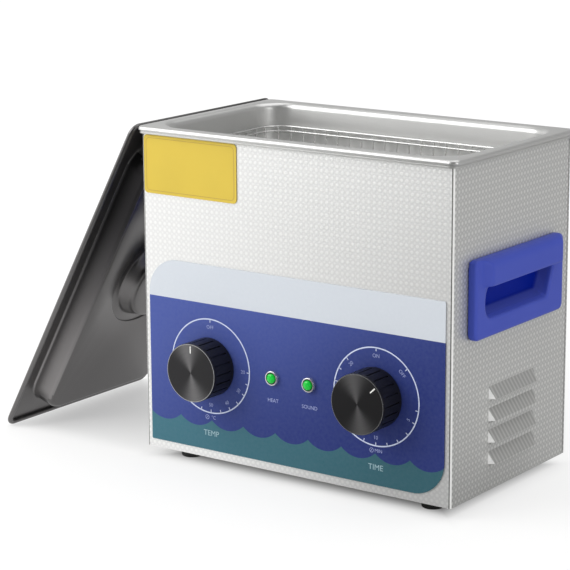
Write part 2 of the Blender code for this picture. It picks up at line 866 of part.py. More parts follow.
def smooth_route(route, steps):
    # Even curve through the route's points, its ends running straight.
    points = []
    padded = [2 * route[0] - route[1]] + route + [2 * route[-1] - route[-2]]
    for a, b, c, d in zip(padded, padded[1:], padded[2:], padded[3:]):
        for step in range(steps):
            t = step / steps
            points.append(0.5 * (2 * b + (c - a) * t + (2 * a - 5 * b + 4 * c - d) * t ** 2
                                 + (3 * b - a - 3 * c + d) * t ** 3))
    return points + [route[-1]]


def wall_reach(z, mouth):
    # Half the tank's outer size at a height on its drafted wall.
    share = (body_height - mouth_round - z) / (tank_depth - mouth_round - floor_round)
    return mouth - tank_draft * share + tank_sheet


def make_lamps():
    for name, sign in (("heat", -1), ("sound", 1)):
        x = sign * lamp_spread / 2
        y = overlay_front - seat_gap
        well = lens_radius + seat_gap
        bezel = make_object(f"{name}_lamp_bezel", loft([
            ring(well, lamp_bezel_height - lens_recess, lamp_steps),
            ring(well, lamp_bezel_height, lamp_steps),
            ring(lamp_bezel_radius - lamp_bezel_round, lamp_bezel_height, lamp_steps),
            ring(lamp_bezel_radius, lamp_bezel_height - lamp_bezel_round, lamp_steps),
            ring(lamp_bezel_radius, 0.0, lamp_steps),
            ring(lamp_body_radius, 0.0, lamp_steps),
            ring(lamp_body_radius, -lamp_body_length, lamp_steps)]), bright_metal, 40)
        place(bezel, x, y, dial_z, to_front)
        foot = lamp_bezel_height - lens_recess + seat_gap
        lens = make_object(f"{name}_lamp_lens", loft([
            ring(lens_radius, foot, lamp_steps),
            ring(lens_radius, lamp_bezel_height, lamp_steps),
            ring(lens_radius * 0.86, lamp_bezel_height + lens_dome * 0.5, lamp_steps),
            ring(lens_radius * 0.55, lamp_bezel_height + lens_dome * 0.85, lamp_steps),
            ring(lens_radius * 0.2, lamp_bezel_height + lens_dome, lamp_steps)]), green_lens, 60)
        place(lens, x, y, dial_z, to_front)


def make_carry_handle(side, sign, turn):
    # Local X runs along the casing's end, local Y is up from the handle's lower edge.
    half = handle_length / 2
    middle = handle_height / 2

    def frame_loop(inset, reach):
        return [(x, y + middle, z) for x, y, z in rounded(
            half - inset, middle - inset, handle_corner - inset, reach)]

    handle = make_object(f"carry_handle_{side}", loft([
        frame_loop(0.0, seat_gap),
        frame_loop(0.0, handle_reach - handle_edge_round),
        frame_loop(handle_edge_round * 0.3, handle_reach - handle_edge_round * 0.3),
        frame_loop(handle_edge_round, handle_reach)]), blue_plastic, 35)
    lip = handle_height - hood_height
    top = handle_height - handle_edge_round
    buried = handle_reach / 2
    skin = handle_reach - handle_edge_round / 3
    rise = hood_reach - skin
    stations = []
    for share, swell in hood_end_shares:
        stations.append((-half + handle_edge_round + hood_end * share, swell))
    stations += [(-x, swell) for x, swell in reversed(stations)]
    hood = loft([[(x, lip, buried)]
                 + [(x, lip + (top - lip) * along, skin + rise * swell * out)
                    for along, out in hood_section_shares]
                 + [(x, top, buried)] for x, swell in stations])
    tub = span((-tub_half, pocket_foot - tub_wall, -pocket_depth - tub_wall),
               (tub_half, pocket_top + tub_wall, handle_reach / 2))
    behind = hood_reach - hood_lip
    section = [(pocket_foot, hood_reach + cut_over), (pocket_foot, handle_reach),
               (pocket_foot + pocket_slope, -pocket_depth), (pocket_top, -pocket_depth),
               (pocket_top, behind), (lip, behind), (lip, hood_reach + cut_over)]
    pocket = make_object("pocket", loft([[(x, y, z) for y, z in section]
                                         for x in (-pocket_length / 2, pocket_length / 2)]))
    bevel(pocket, pocket_round)
    parts = [make_object("hood", hood), make_object("tub", tub), pocket]
    for item in [handle] + parts:
        place(item, sign * end_x, 0.0, case_bottom + handle_rise, turn)
    return cut(weld(handle, *parts[:2]), pocket)


def lid_loop(kind, reach, z):
    # One loop of the lid: a circle, the plug's outline or the outer outline.
    if kind == "round":
        return rounded(reach, reach, reach, z)
    if kind == "plug":
        inset = plug_x - reach
        return rounded(reach, plug_y - inset, plug_corner - inset, z)
    inset = lid_length / 2 - reach
    return rounded(reach, lid_width / 2 - inset, lid_corner - inset, z)


def lid_corners(steps):
    # The plug's two rounds and the rolled edge, seen from the side.
    low = (plug_x - plug_draft - plug_round, plug_round - plug_depth)
    high = (plug_x + plug_round, -plug_round)
    bead = (lid_length / 2 - lid_roll, -lid_roll * lid_bead_share)
    return (arc(low, plug_round, 270, 360, steps), arc(high, plug_round, 180, 90, steps),
            arc(bead, lid_roll, 180, 360, steps))


def lean_place():
    # The leaning lid stands on its rolled edge and slides up to the casing or the rim.
    rise = lid_length / 2 - lid_roll
    z = (floor_level + seat_gap + lid_roll + rise * math.sin(lean_angle)
         + lid_bead_share * lid_roll * math.cos(lean_angle))
    route = [(dish_radius, -plug_depth)] + [p for c in lid_corners(lean_steps) for p in c]
    places = []
    for (x0, z0), (x1, z1) in zip(route, route[1:]):
        for step in range(lean_steps):
            across = x0 + (x1 - x0) * step / lean_steps
            up = z0 + (z1 - z0) * step / lean_steps
            height = z + across * math.sin(lean_angle) + up * math.cos(lean_angle)
            stop = end_x if height < rim_under else end_x + rim_overhang
            if height < body_height:
                places.append(-stop - seat_gap - across * math.cos(lean_angle)
                              + up * math.sin(lean_angle))
    return min(places), z


def make_lid():
    # Modelled lying on the tank, its flange's underside at Z zero, then leaned.
    panel = -plug_depth
    ledge = panel + dish_step
    bowl = ledge - bowl_depth
    bowl_x = dish_radius - dish_ledge - bowl_slope
    edge = lid_length / 2
    under = [("round", bowl_x - bowl_round, bowl), ("round", bowl_x, bowl + bowl_round * 0.4),
             ("round", dish_radius - dish_ledge - bowl_round, ledge - bowl_round),
             ("round", dish_radius - dish_ledge, ledge),
             ("round", dish_radius - dish_step, ledge), ("round", dish_radius, panel)]
    low, high = lid_corners(round_steps)[:2]
    under += [("plug", x, z) for x, z in low + high]
    under.append(("edge", edge - 2 * lid_roll, 0.0))
    upper = offset_line([(reach, z) for kind, reach, z in under], lid_sheet)
    over = [(kind, *point) for (kind, reach, z), point in zip(under, upper)]
    bead = [("edge", x, z) for x, z in lid_corners(bead_steps)[2]]
    bead.append(("edge", edge - lid_roll * 0.3, lid_sheet * 0.6))
    chain = under + bead + over[::-1]
    lid = make_object("lid", loft([lid_loop(*entry) for entry in chain]), lid_steel, 30)

    # A strap across the dish on the upper side, spot-welded at both feet
    seat = panel + lid_sheet + seat_gap
    half = dish_radius + grip_overlap
    foot = half - grip_foot
    line = [(-half, seat), (-foot, seat), (-foot + grip_rise, seat + grip_rise)]
    line += [(-x, z) for x, z in reversed(line)]
    strap = offset_line(line, grip_sheet)
    outline = line + strap[::-1]
    grip = loft([[(x, y, z) for x, z in outline] for y in (-grip_width / 2, grip_width / 2)])
    grip = bevel(make_object("lid_grip", grip, lid_steel, 30), grip_sheet / 4, 1)
    lid_x, lid_z = lean_place()
    rest = pivot("lid_frame", lid_x, lid_shift_y, lid_z)
    rest.rotation_euler = (0.0, -lean_angle, 0.0)
    place(lid, parent=rest)
    place(grip, parent=rest)


def basket_stations():
    # Places of the uprights: a point on the skeleton, the outward angle and its spread.
    straight_x = basket_x - basket_corner
    straight_y = basket_y - basket_corner
    stations = []
    sides = ((straight_x, straight_y, -1, 0, basket_side_count, 90),
             (-straight_x, straight_y, 0, -1, basket_end_count, 180),
             (-straight_x, -straight_y, 1, 0, basket_side_count, 270),
             (straight_x, -straight_y, 0, 1, basket_end_count, 360))
    for x, y, dx, dy, count, angle in sides:
        length = 2 * (straight_x if dx else straight_y)
        for index in range(count):
            along = length * (index + 0.5) / count
            centre = (x + dx * along, y + dy * along)
            stations.append((centre, angle, True))
        corner = (x + dx * length, y + dy * length)
        for index in range(basket_corner_count):
            share = (index + 0.5) / basket_corner_count
            stations.append((corner, angle + 90 * share, False))
    return stations


def basket_ring_points(inset, radial):
    # Two points for each upright on a ring, at a radial offset.
    points = []
    reach = basket_corner - inset + radial
    for centre, angle, straight in basket_stations():
        for sign in (-1, 1):
            if straight:
                turn = math.radians(angle)
                slide = sign * basket_upright / 2
                points.append((centre[0] + reach * math.cos(turn) - slide * math.sin(turn),
                               centre[1] + reach * math.sin(turn) + slide * math.cos(turn)))
            else:
                half = basket_upright / 2 / (basket_corner - basket_taper)
                turn = math.radians(angle) + sign * half
                points.append((centre[0] + reach * math.cos(turn),
                               centre[1] + reach * math.sin(turn)))
    return points


def basket_lattice():
    # Uprights between three rings, all the way round.
    height = basket_top - basket_foot
    levels = ((basket_top, basket_wire), (basket_top - basket_ring_drop, basket_ring),
              (basket_foot + basket_ring, basket_ring))
    bm = bmesh.new()
    rings = []
    for top, wire in levels:
        inset = basket_taper * (basket_top - top) / height
        rings.append({(edge, side): [bm.verts.new((x, y, z)) for x, y in
                                     basket_ring_points(inset, radial)]
                      for edge, z in (("top", top), ("low", top - wire))
                      for side, radial in (("out", 0.0), ("in", -basket_wire))})
    count = len(rings[0][("top", "out")])
    last = len(rings) - 1
    for number, loops in enumerate(rings):
        for index in range(count):
            after = (index + 1) % count
            upright = index % 2 == 0
            for side in ("out", "in"):
                bm.faces.new((loops[("top", side)][index], loops[("top", side)][after],
                              loops[("low", side)][after], loops[("low", side)][index]))
            for edge, open_here in (("top", upright and number > 0),
                                    ("low", upright and number < last)):
                if not open_here:
                    bm.faces.new((loops[(edge, "out")][index], loops[(edge, "out")][after],
                                  loops[(edge, "in")][after], loops[(edge, "in")][index]))
            if upright and number < last:
                below = rings[number + 1]
                corners = (("out", index), ("out", after), ("in", after), ("in", index))
                for (s0, i0), (s1, i1) in zip(corners, corners[1:] + corners[:1]):
                    bm.faces.new((loops[("low", s0)][i0], loops[("low", s1)][i1],
                                  below[("top", s1)][i1], below[("top", s0)][i0]))
    return bm


def make_basket():
    # Two long walls, two ends with ears, a flat net floor and two swinging bails.
    joint_x = basket_x - basket_corner
    past_x = basket_x + cut_over
    past_y = basket_y + cut_over
    tall = (basket_foot - cut_over, basket_top + cut_over)
    for side, sign in (("front", -1), ("rear", 1)):
        wall = make_object(f"basket_{side}", basket_lattice(), wire_steel)
        outer = [between((end * (joint_x - seat_gap / 2), end * past_x), (-past_y, past_y), tall)
                 for end in (-1, 1)]
        far = between((-joint_x, joint_x), (0.0, -sign * past_y), tall)
        cut(wall, make_object("wall_limits", gather(outer)), make_object("far_wall", far))
    for side, sign, turn in ends:
        wall = make_object(f"basket_end_{side}", basket_lattice(), wire_steel)
        rest = between((sign * (joint_x + seat_gap / 2), -sign * past_x), (-past_y, past_y), tall)
        cut(wall, make_object("other_walls", rest))
        plates = []
        for sy in (-1, 1):
            y = sy * ear_spread / 2
            x0, x1 = sorted((sign * (bail_x - ear_size / 2), sign * (basket_x - basket_wire / 2)))
            plates.append(span((x0, y - ear_sheet / 2, bail_z - ear_size / 2),
                               (x1, y + ear_sheet / 2, basket_top - basket_wire / 2)))
        hole = cylinder(bail_wire_radius + bail_eye_gap, ear_spread + 2 * ear_sheet + 2 * cut_over,
                        -ear_spread / 2 - ear_sheet - cut_over, small_steps)
        bmesh.ops.rotate(hole, verts=hole.verts, matrix=Matrix.Rotation(math.pi / 2, 3, "X"))
        weld(wall, make_object("ears", gather(plates)))
        cut(wall, make_object("eyes", shifted(hole, sign * bail_x, 0.0, bail_z)))

    foot_x = basket_x - basket_taper
    foot_y = basket_y - basket_taper
    corner = basket_corner - basket_taper
    low = basket_foot - seat_gap - net_bar
    floor = make_object("basket_floor", loft([
        rounded(foot_x, foot_y, corner, low),
        rounded(foot_x, foot_y, corner, low + net_bar)]), wire_steel)
    pitch_x = (2 * foot_x - 2 * net_rim - net_bar) / net_column_count
    pitch_y = (2 * foot_y - 2 * net_rim - net_bar) / net_row_count
    gaps = []
    for i in range(net_column_count):
        for j in range(net_row_count):
            gap = block(pitch_x - net_bar, pitch_y - net_bar, net_bar + 2 * cut_over, low - cut_over)
            gaps.append(shifted(gap, (i - (net_column_count - 1) / 2) * pitch_x,
                                (j - (net_row_count - 1) / 2) * pitch_y))
    cut(floor, make_object("net_gaps", gather(gaps)))

    for side, sign, turn in ends:
        axis = pivot(f"bail_axis_{side}", sign * bail_x, 0.0, bail_z)
        bail = tube_object(f"basket_bail_{side}", bail_route(), bail_wire_radius, wire_steel)
        place(bail, parent=axis)


def bail_route():
    # Out of one ear, down an arm, along the grip, up the other arm and into its ear.
    arm_y = ear_spread / 2 - ear_sheet / 2 - bail_side_gap - bail_wire_radius
    tip = ear_spread / 2 + ear_sheet / 2 + bail_end
    half = [(0.0, tip, 0.0), (0.0, arm_y + bail_eye_bend, 0.0),
            (0.0, arm_y, -bail_eye_bend), (0.0, arm_y, -bail_drop + bail_bend)]
    half += [(0.0, arm_y - bail_bend + bail_bend * math.cos(angle),
              -bail_drop + bail_bend - bail_bend * math.sin(angle))
             for angle in (math.pi / 6, math.pi / 3, math.pi / 2)]
    return half + [(x, -y, z) for x, y, z in reversed(half)]


def tube_object(name, points, radius, material):
    # A round wire along points, with flat ends.
    curve = bpy.data.curves.new(name, "CURVE")
    curve.dimensions = "3D"
    curve.bevel_depth = radius
    curve.bevel_resolution = 1
    curve.use_fill_caps = True
    spline = curve.splines.new("POLY")
    spline.points.add(len(points) - 1)
    for item, point in zip(spline.points, points):
        item.co = (*point, 1.0)
    curve.materials.append(material)
    item = bpy.data.objects.new(name, curve)
    bpy.context.collection.objects.link(item)
    return item


def make_transducers():
    # Horn, ceramic rings and back mass of each driver, stacked under the tank's floor.
    for side, sign, turn in ends:
        x = sign * transducer_spread / 2
        top = tank_under - seat_gap
        horn = loft([ring(horn_radius, top), ring(horn_radius, top - horn_land),
                     ring(horn_waist, top - horn_height)])
        place(make_object(f"transducer_horn_{side}", horn, aluminium, 30), x)
        top -= horn_height + seat_gap
        stack = loft([ring(ceramic_radius, top), ring(ceramic_radius, top - ceramic_height)])
        place(make_object(f"transducer_ceramic_{side}", stack, ceramic, 30), x)
        top -= ceramic_height + seat_gap
        mass = loft([ring(mass_radius, top), ring(mass_radius, top - mass_height),
                     ring(bolt_radius, top - mass_height),
                     ring(bolt_radius, top - mass_height - bolt_height)])
        place(make_object(f"transducer_mass_{side}", mass, bright_metal, 30), x)


def make_heater_pads():
    # Silicone pads bonded along the tank's two long walls, which lean by the draft.
    lean = math.atan(tank_draft / (tank_depth - mouth_round - floor_round))
    z = tank_floor + heater_above_floor + heater_height / 2
    y = wall_reach(z, mouth_y) + seat_gap
    for name, sign, turn in (("front", -1, (math.pi / 2 + lean, 0.0, 0.0)),
                             ("rear", 1, (math.pi / 2 + lean, 0.0, math.pi))):
        pad = loft([rounded(heater_length / 2, heater_height / 2, heater_corner, 0.0),
                    rounded(heater_length / 2, heater_height / 2, heater_corner, heater_sheet)])
        place(make_object(f"heater_pad_{name}", pad, orange_silicone), 0.0, sign * y, z, turn)


def make_driver_board():
    board_top = boss_top + seat_gap + board_sheet
    board = make_object("driver_board", block(board_length, board_width, board_sheet), board_green)
    place(board, 0.0, board_shift_y, boss_top + seat_gap)
    level = board_top + seat_gap
    pitch = (sink_width - sink_fin_sheet) / (sink_fin_count - 1)
    comb = [(sink_width / 2, 0.0), (sink_width / 2, sink_height)]
    for fin in range(sink_fin_count):
        right = sink_width / 2 - fin * pitch
        left = right - sink_fin_sheet
        if fin:
            comb += [(right, sink_foot), (right, sink_height)]
        comb += [(left, sink_height), (left, sink_foot if fin < sink_fin_count - 1 else 0.0)]
    sink = make_object("board_heatsink", prism(comb, sink_length, -sink_length / 2), aluminium)
    place(sink, -board_length / 4, board_shift_y + board_width / 6, level,
          (math.pi / 2, 0.0, math.pi / 2))
    coil = make_object("board_coil", block(coil_core, coil_core * 0.8, coil_yoke), ferrite)
    winding = make_object("winding", cylinder(coil_radius, coil_height - coil_yoke, coil_yoke / 2))
    yoke = make_object("yoke", block(coil_core, coil_core * 0.8, coil_yoke, coil_height - coil_yoke))
    for item in (coil, winding, yoke):
        place(item, board_length / 5, board_shift_y + board_width / 6, level)
    weld(coil, winding, yoke)
    can = loft([ring(capacitor_radius, 0.0), ring(capacitor_radius, capacitor_height * 0.95),
                ring(capacitor_radius * 0.9, capacitor_height)])
    place(make_object("board_capacitor", can, black_plastic, 40),
          board_length / 4, board_shift_y - board_width / 5, level)


def make_fan():
    # Frame with its spider and pin, and a rotor that turns on the pin.
    y = panel_back - seat_gap
    frame = make_object("fan_frame", loft([
        rounded(fan_size / 2, fan_size / 2, fan_corner, -fan_depth),
        rounded(fan_size / 2, fan_size / 2, fan_corner, 0.0)]), black_plastic, 30)
    bore = make_object("fan_bore", cylinder(fan_bore, fan_depth + 2 * cut_over, -fan_depth - cut_over))
    hub_back = -fan_spider
    hub = make_object("fan_hub", cylinder(fan_hub, fan_spider, hub_back))
    arms = make_object("fan_arms", gather([
        block(2 * fan_bore + 2 * cut_over, fan_spider_arm, fan_spider * 0.8, hub_back * 0.9),
        block(fan_spider_arm, 2 * fan_bore + 2 * cut_over, fan_spider * 0.6, hub_back * 0.8)]))
    rotor_back = hub_back - rotor_gap
    pin_end = rotor_back - rotor_depth * 0.8
    pin = make_object("fan_pin", cylinder(fan_pin, hub_back - pin_end + fan_spider / 2,
                                          pin_end, small_steps))
    axis = pivot("fan_axis", fan_x, y, fan_z)
    for item in (frame, bore, hub, arms, pin):
        place(item, fan_x, y, fan_z, to_rear)
    weld(cut(frame, bore), hub, arms, pin)
    rotor = make_object("fan_rotor", cylinder(rotor_hub, rotor_depth, rotor_back - rotor_depth),
                        black_plastic, 30)
    middle = rotor_back - rotor_depth / 2
    blades = []
    for index in range(rotor_blade_count):
        blade = span((rotor_hub * 0.8, -rotor_blade_chord / 2, -rotor_blade_sheet / 2),
                     (rotor_radius, rotor_blade_chord / 2, rotor_blade_sheet / 2))
        around = Matrix.Rotation(2 * math.pi * index / rotor_blade_count, 4, "Z")
        bmesh.ops.transform(blade, verts=blade.verts,
                            matrix=around @ Matrix.Rotation(rotor_pitch, 4, "X"))
        blades.append(shifted(blade, z=middle))
    guide = make_object("blades", gather(blades))
    bearing = make_object("bearing", cylinder(fan_pin + running_gap, rotor_depth + 2 * cut_over,
                                              rotor_back - rotor_depth - cut_over, small_steps))
    for item in (rotor, guide, bearing):
        place(item, turn=to_rear, parent=axis)
    cut(weld(rotor, guide), bearing)


def make_inlet():
    # Socket with its three pins, and a fuse drawer that slides out below them.
    y = rear_y + seat_gap
    inlet = make_object("power_inlet", loft([
        rounded(inlet_flange_width / 2, inlet_flange_height / 2, inlet_bevel, 0.0),
        rounded(inlet_flange_width / 2, inlet_flange_height / 2, inlet_bevel, inlet_flange)]),
        black_plastic)
    body = make_object("inlet_body", block(
        inlet_body_width, inlet_body_height, inlet_body_depth + inlet_flange / 2, -inlet_body_depth))
    half_x = socket_width / 2
    half_y = socket_height / 2
    outline = [(half_x, half_y - socket_chamfer), (half_x - socket_chamfer, half_y),
               (-half_x + socket_chamfer, half_y), (-half_x, half_y - socket_chamfer),
               (-half_x, -half_y), (half_x, -half_y)]
    socket = make_object("socket", shifted(prism(
        outline, socket_depth + cut_over, inlet_flange - socket_depth), 0.0, socket_shift))
    pins = make_object("pins", gather([
        shifted(block(pin_width, pin_height, pin_length + cut_over,
                      inlet_flange - socket_depth - cut_over), x, socket_shift + y_pin)
        for x, y_pin in ((-pin_spread / 2, -pin_offset), (pin_spread / 2, -pin_offset),
                         (0.0, pin_offset))]))
    slot = make_object("drawer_slot", shifted(block(
        drawer_width + 2 * drawer_gap, drawer_height + 2 * drawer_gap,
        drawer_depth + drawer_gap + cut_over, inlet_flange - drawer_depth - drawer_gap),
        0.0, drawer_shift))
    for item in (inlet, body, socket, pins, slot):
        place(item, inlet_x, y, inlet_z, to_rear)
    weld(cut(weld(inlet, body), socket, slot), pins)
    drawer = make_object("fuse_drawer", shifted(block(
        drawer_width, drawer_height, drawer_depth + drawer_pull, -drawer_depth), 0.0, drawer_shift),
        black_plastic)
    bevel(drawer, drawer_gap, 1)
    place(drawer, inlet_x, y + inlet_flange, inlet_z, to_rear)


def make_switch():
    y = rear_y + seat_gap
    switch = make_object("switch_body", loft([
        rounded(switch_width / 2 + switch_wall, switch_height / 2 + switch_wall, switch_wall, 0.0),
        rounded(switch_width / 2 + switch_wall, switch_height / 2 + switch_wall, switch_wall,
                switch_bezel)]), black_plastic)
    body = make_object("switch_case", block(
        switch_width, switch_height, switch_body_depth + switch_bezel / 2, -switch_body_depth))
    well_x = switch_width - 2 * switch_wall
    well_y = switch_height - 2 * switch_wall
    well = make_object("switch_well", block(well_x, well_y, switch_recess + cut_over,
                                            switch_bezel - switch_recess))
    axis_z = switch_bezel - rocker_axis_depth
    pin_holes = make_object("pivot_holes", rocker_pin(
        well_x + switch_wall, rocker_pin_radius + running_gap, axis_z))
    for item in (switch, body, well, pin_holes):
        place(item, inlet_x, y, switch_z, to_rear)
    cut(weld(switch, body), well, pin_holes)
    axis = pivot("rocker_axis", inlet_x, y + axis_z, switch_z)
    half = well_y / 2 - 2 * rocker_gap
    section = [(half, rocker_reach), (0.0, rocker_dip), (-half, rocker_reach),
               (-half * 0.7, -rocker_belly), (half * 0.7, -rocker_belly)]
    width = well_x / 2 - rocker_gap
    rocker = make_object("power_rocker", loft([[(x, y_at, z) for y_at, z in section]
                                               for x in (-width, width)]), black_plastic)
    pin = make_object("rocker_pin", rocker_pin(well_x + switch_wall / 2, rocker_pin_radius, 0.0))
    turn = (math.pi / 2 + rocker_tilt, 0.0, math.pi)
    for item in (rocker, pin):
        place(item, turn=turn, parent=axis)
    weld(rocker, pin)


def rocker_pin(length, radius, z):
    pin = cylinder(radius, length, -length / 2, small_steps)
    bmesh.ops.rotate(pin, verts=pin.verts, matrix=Matrix.Rotation(math.pi / 2, 3, "Y"))
    return shifted(pin, z=z)


clear_scene()
steel = finish("embossed_steel", (0.72, 0.72, 0.70), 0.32, 1.0)
satin_steel = finish("satin_steel", (0.70, 0.70, 0.68), 0.28, 1.0)
lid_steel = finish("lid_steel", (0.55, 0.54, 0.53), 0.22, 1.0)
wire_steel = finish("wire_steel", (0.75, 0.75, 0.74), 0.20, 1.0)
bright_metal = finish("bright_metal", (0.80, 0.80, 0.80), 0.15, 1.0)
aluminium = finish("aluminium", (0.78, 0.78, 0.80), 0.35, 1.0)
copper = finish("copper", (0.72, 0.38, 0.22), 0.30, 1.0)
black_metal = finish("black_anodised", (0.03, 0.03, 0.03), 0.30, 0.6)
blue_plastic = finish("blue_plastic", (0.06, 0.08, 0.40), 0.40, 0.0)
blue_print = finish("blue_print", (0.07, 0.09, 0.35), 0.35, 0.0)
yellow_print = finish("yellow_print", (0.85, 0.64, 0.08), 0.45, 0.0)
green_lens = finish("green_lens", (0.01, 0.55, 0.05), 0.15, 0.0)
black_plastic = finish("black_plastic", (0.02, 0.02, 0.02), 0.45, 0.0)
white_plastic = finish("white_plastic", (0.80, 0.80, 0.77), 0.50, 0.0)
rubber = finish("rubber", (0.02, 0.02, 0.02), 0.80, 0.0)
ceramic = finish("ceramic", (0.60, 0.52, 0.38), 0.60, 0.0)
ferrite = finish("ferrite", (0.05, 0.05, 0.06), 0.60, 0.0)
orange_silicone = finish("orange_silicone", (0.65, 0.16, 0.03), 0.60, 0.0)
board_green = finish("board_green", (0.02, 0.20, 0.06), 0.50, 0.0)

make_casing_wrap()
make_rear_panel()
make_base_plate()
make_feet()
make_tank()
make_overlay_and_label()
make_dial("temp", -1, thermostat_size, thermostat_depth, 0.0)
make_dial("time", 1, timer_size, timer_depth, time_rest)
make_bulb_and_capillary()
make_lamps()
for end in ends:
    make_carry_handle(*end)
make_lid()
make_basket()
make_transducers()
make_heater_pads()
make_driver_board()
make_fan()
make_inlet()
make_switch()
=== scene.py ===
import json
import math

import bmesh
import bpy
from mathutils import Matrix, Vector


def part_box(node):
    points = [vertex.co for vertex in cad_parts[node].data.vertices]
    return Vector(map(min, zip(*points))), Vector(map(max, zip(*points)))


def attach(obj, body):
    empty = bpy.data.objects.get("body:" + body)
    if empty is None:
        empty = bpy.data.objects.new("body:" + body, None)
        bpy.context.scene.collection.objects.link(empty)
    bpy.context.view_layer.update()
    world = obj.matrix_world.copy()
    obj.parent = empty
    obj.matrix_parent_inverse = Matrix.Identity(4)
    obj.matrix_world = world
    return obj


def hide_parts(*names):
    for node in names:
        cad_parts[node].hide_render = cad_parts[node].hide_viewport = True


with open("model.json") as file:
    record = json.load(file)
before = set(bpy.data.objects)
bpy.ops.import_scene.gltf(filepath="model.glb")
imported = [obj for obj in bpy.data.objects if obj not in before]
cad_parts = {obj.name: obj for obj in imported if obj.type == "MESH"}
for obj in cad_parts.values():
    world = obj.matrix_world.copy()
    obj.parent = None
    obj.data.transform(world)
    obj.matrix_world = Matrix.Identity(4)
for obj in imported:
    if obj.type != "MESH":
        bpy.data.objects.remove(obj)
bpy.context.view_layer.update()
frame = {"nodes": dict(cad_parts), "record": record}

mm = 0.001
cad = frame["nodes"]


class Value:
    # One output of a material's nodes. Sums on it add Math nodes.
    def __init__(self, recipe, socket):
        self.recipe = recipe
        self.socket = socket

    def maths(self, operation, *terms):
        return self.recipe.node("ShaderNodeMath", {"operation": operation}, dict(enumerate(terms)))

    def __add__(self, other):
        return self.maths("ADD", self, other)

    def __sub__(self, other):
        return self.maths("SUBTRACT", self, other)

    def __rsub__(self, other):
        return self.maths("SUBTRACT", other, self)

    def __mul__(self, other):
        return self.maths("MULTIPLY", self, other)

    def __truediv__(self, other):
        return self.maths("DIVIDE", self, other)

    def __pow__(self, other):
        return self.maths("POWER", self, other)

    def __mod__(self, other):
        return self.maths("FLOORED_MODULO", self, other)

    def __gt__(self, other):
        return self.maths("GREATER_THAN", self, other)

    def __lt__(self, other):
        return self.maths("LESS_THAN", self, other)

    def __abs__(self):
        return self.maths("ABSOLUTE", self)

    __radd__ = __add__
    __rmul__ = __mul__


class Recipe:
    # A material or world and the way its nodes are added and joined.
    def __init__(self, owner):
        owner.use_nodes = True
        self.owner = owner
        self.tree = owner.node_tree

    def node(self, kind, settings=None, values=None, output=0):
        made = self.tree.nodes.new(kind)
        for name, setting in (settings or {}).items():
            if name == "stops":
                ramp = made.color_ramp
                while len(ramp.elements) < len(setting):
                    ramp.elements.new(0.5)
                for element, (position, colour) in zip(ramp.elements, setting):
                    element.position = position
                    element.color = (*colour, 1)
            else:
                setattr(made, name, setting)
        for name, value in (values or {}).items():
            if isinstance(value, Value):
                self.tree.links.new(value.socket, made.inputs[name])
            else:
                made.inputs[name].default_value = value
        return Value(self, made.outputs[output])

    def axes(self, vector=None):
        vector = vector or self.node("ShaderNodeTexCoord", output="Object")
        return [self.node("ShaderNodeSeparateXYZ", values={0: vector}, output=axis) for axis in range(3)]

    def blend(self, share, first, second):
        first, second = ((*tone, 1) if isinstance(tone, tuple) else tone for tone in (first, second))
        return self.node("ShaderNodeMix", {"data_type": "RGBA"},
                         {0: share, 6: first, 7: second}, output=2)

    def noise(self, scale, detail=3, vector=None, stretch=None):
        vector = vector or self.node("ShaderNodeTexCoord", output="Object")
        if stretch:
            vector = self.node("ShaderNodeMapping", values={"Vector": vector, "Scale": stretch})
        return self.node("ShaderNodeTexNoise",
                         values={"Vector": vector, "Scale": scale, "Detail": detail})

    def smooth(self, value, low, high):
        return self.node("ShaderNodeMapRange", {"interpolation_type": "SMOOTHSTEP"},
                         {"Value": value, "From Min": low, "From Max": high})

    def maximum(self, first, second):
        return first.maths("MAXIMUM", first, second)

    def bump(self, height, strength, distance):
        return self.node("ShaderNodeBump", values={"Height": height, "Strength": strength,
                                                   "Distance": distance})

    def surface(self, **values):
        shader = self.tree.nodes["Principled BSDF"]
        for name, value in values.items():
            name = {"color": "Base Color", "specular": "Specular IOR Level"}.get(name, name.capitalize())
            if isinstance(value, Value):
                self.tree.links.new(value.socket, shader.inputs[name])
            elif isinstance(value, tuple):
                shader.inputs[name].default_value = (*value, 1)
            else:
                shader.inputs[name].default_value = value
        return self.owner


def newMaterial(name):
    return Recipe(bpy.data.materials.new(name))


print("camera, lamps and floor")

view = {"azimuth": 35.803, "rise": 12.979, "roll": -0.326, "distance": 1642.3,
        "target": (-61.26, 0.0, 115.16), "lens": 141.59}


def addCamera():
    turn, lift, roll = (math.radians(view[name]) for name in ("azimuth", "rise", "roll"))
    back = Vector((math.sin(turn) * math.cos(lift), -math.cos(turn) * math.cos(lift), math.sin(lift)))
    right = Vector((math.cos(turn), math.sin(turn), 0))
    above = back.cross(right)
    across = right * math.cos(roll) + above * math.sin(roll)
    above = above * math.cos(roll) - right * math.sin(roll)
    bpy.ops.object.camera_add()
    eye = bpy.context.object
    eye.matrix_world = (Matrix.Translation((Vector(view["target"]) + back * view["distance"]) * mm)
                        @ Matrix((across, above, back)).transposed().to_4x4())
    eye.data.lens = view["lens"]
    eye.data.sensor_width = 36
    bpy.context.scene.camera = eye


lamps = {  # place, aim, width and height in metres, and power in watts
    "key": {"at": (-0.62, -0.66, 0.72), "aim": (-0.05, 0, 0.12), "size": (1.0, 1.0), "power": 9.3},
    "top": {"at": (0.15, 0.35, 1.5), "aim": (0, 0, 0.15), "size": (1.6, 1.4), "power": 10},
    "side": {"at": (1.5, -0.35, 0.5), "aim": (0.1, 0, 0.06), "size": (0.6, 0.9), "power": 4.5},
}


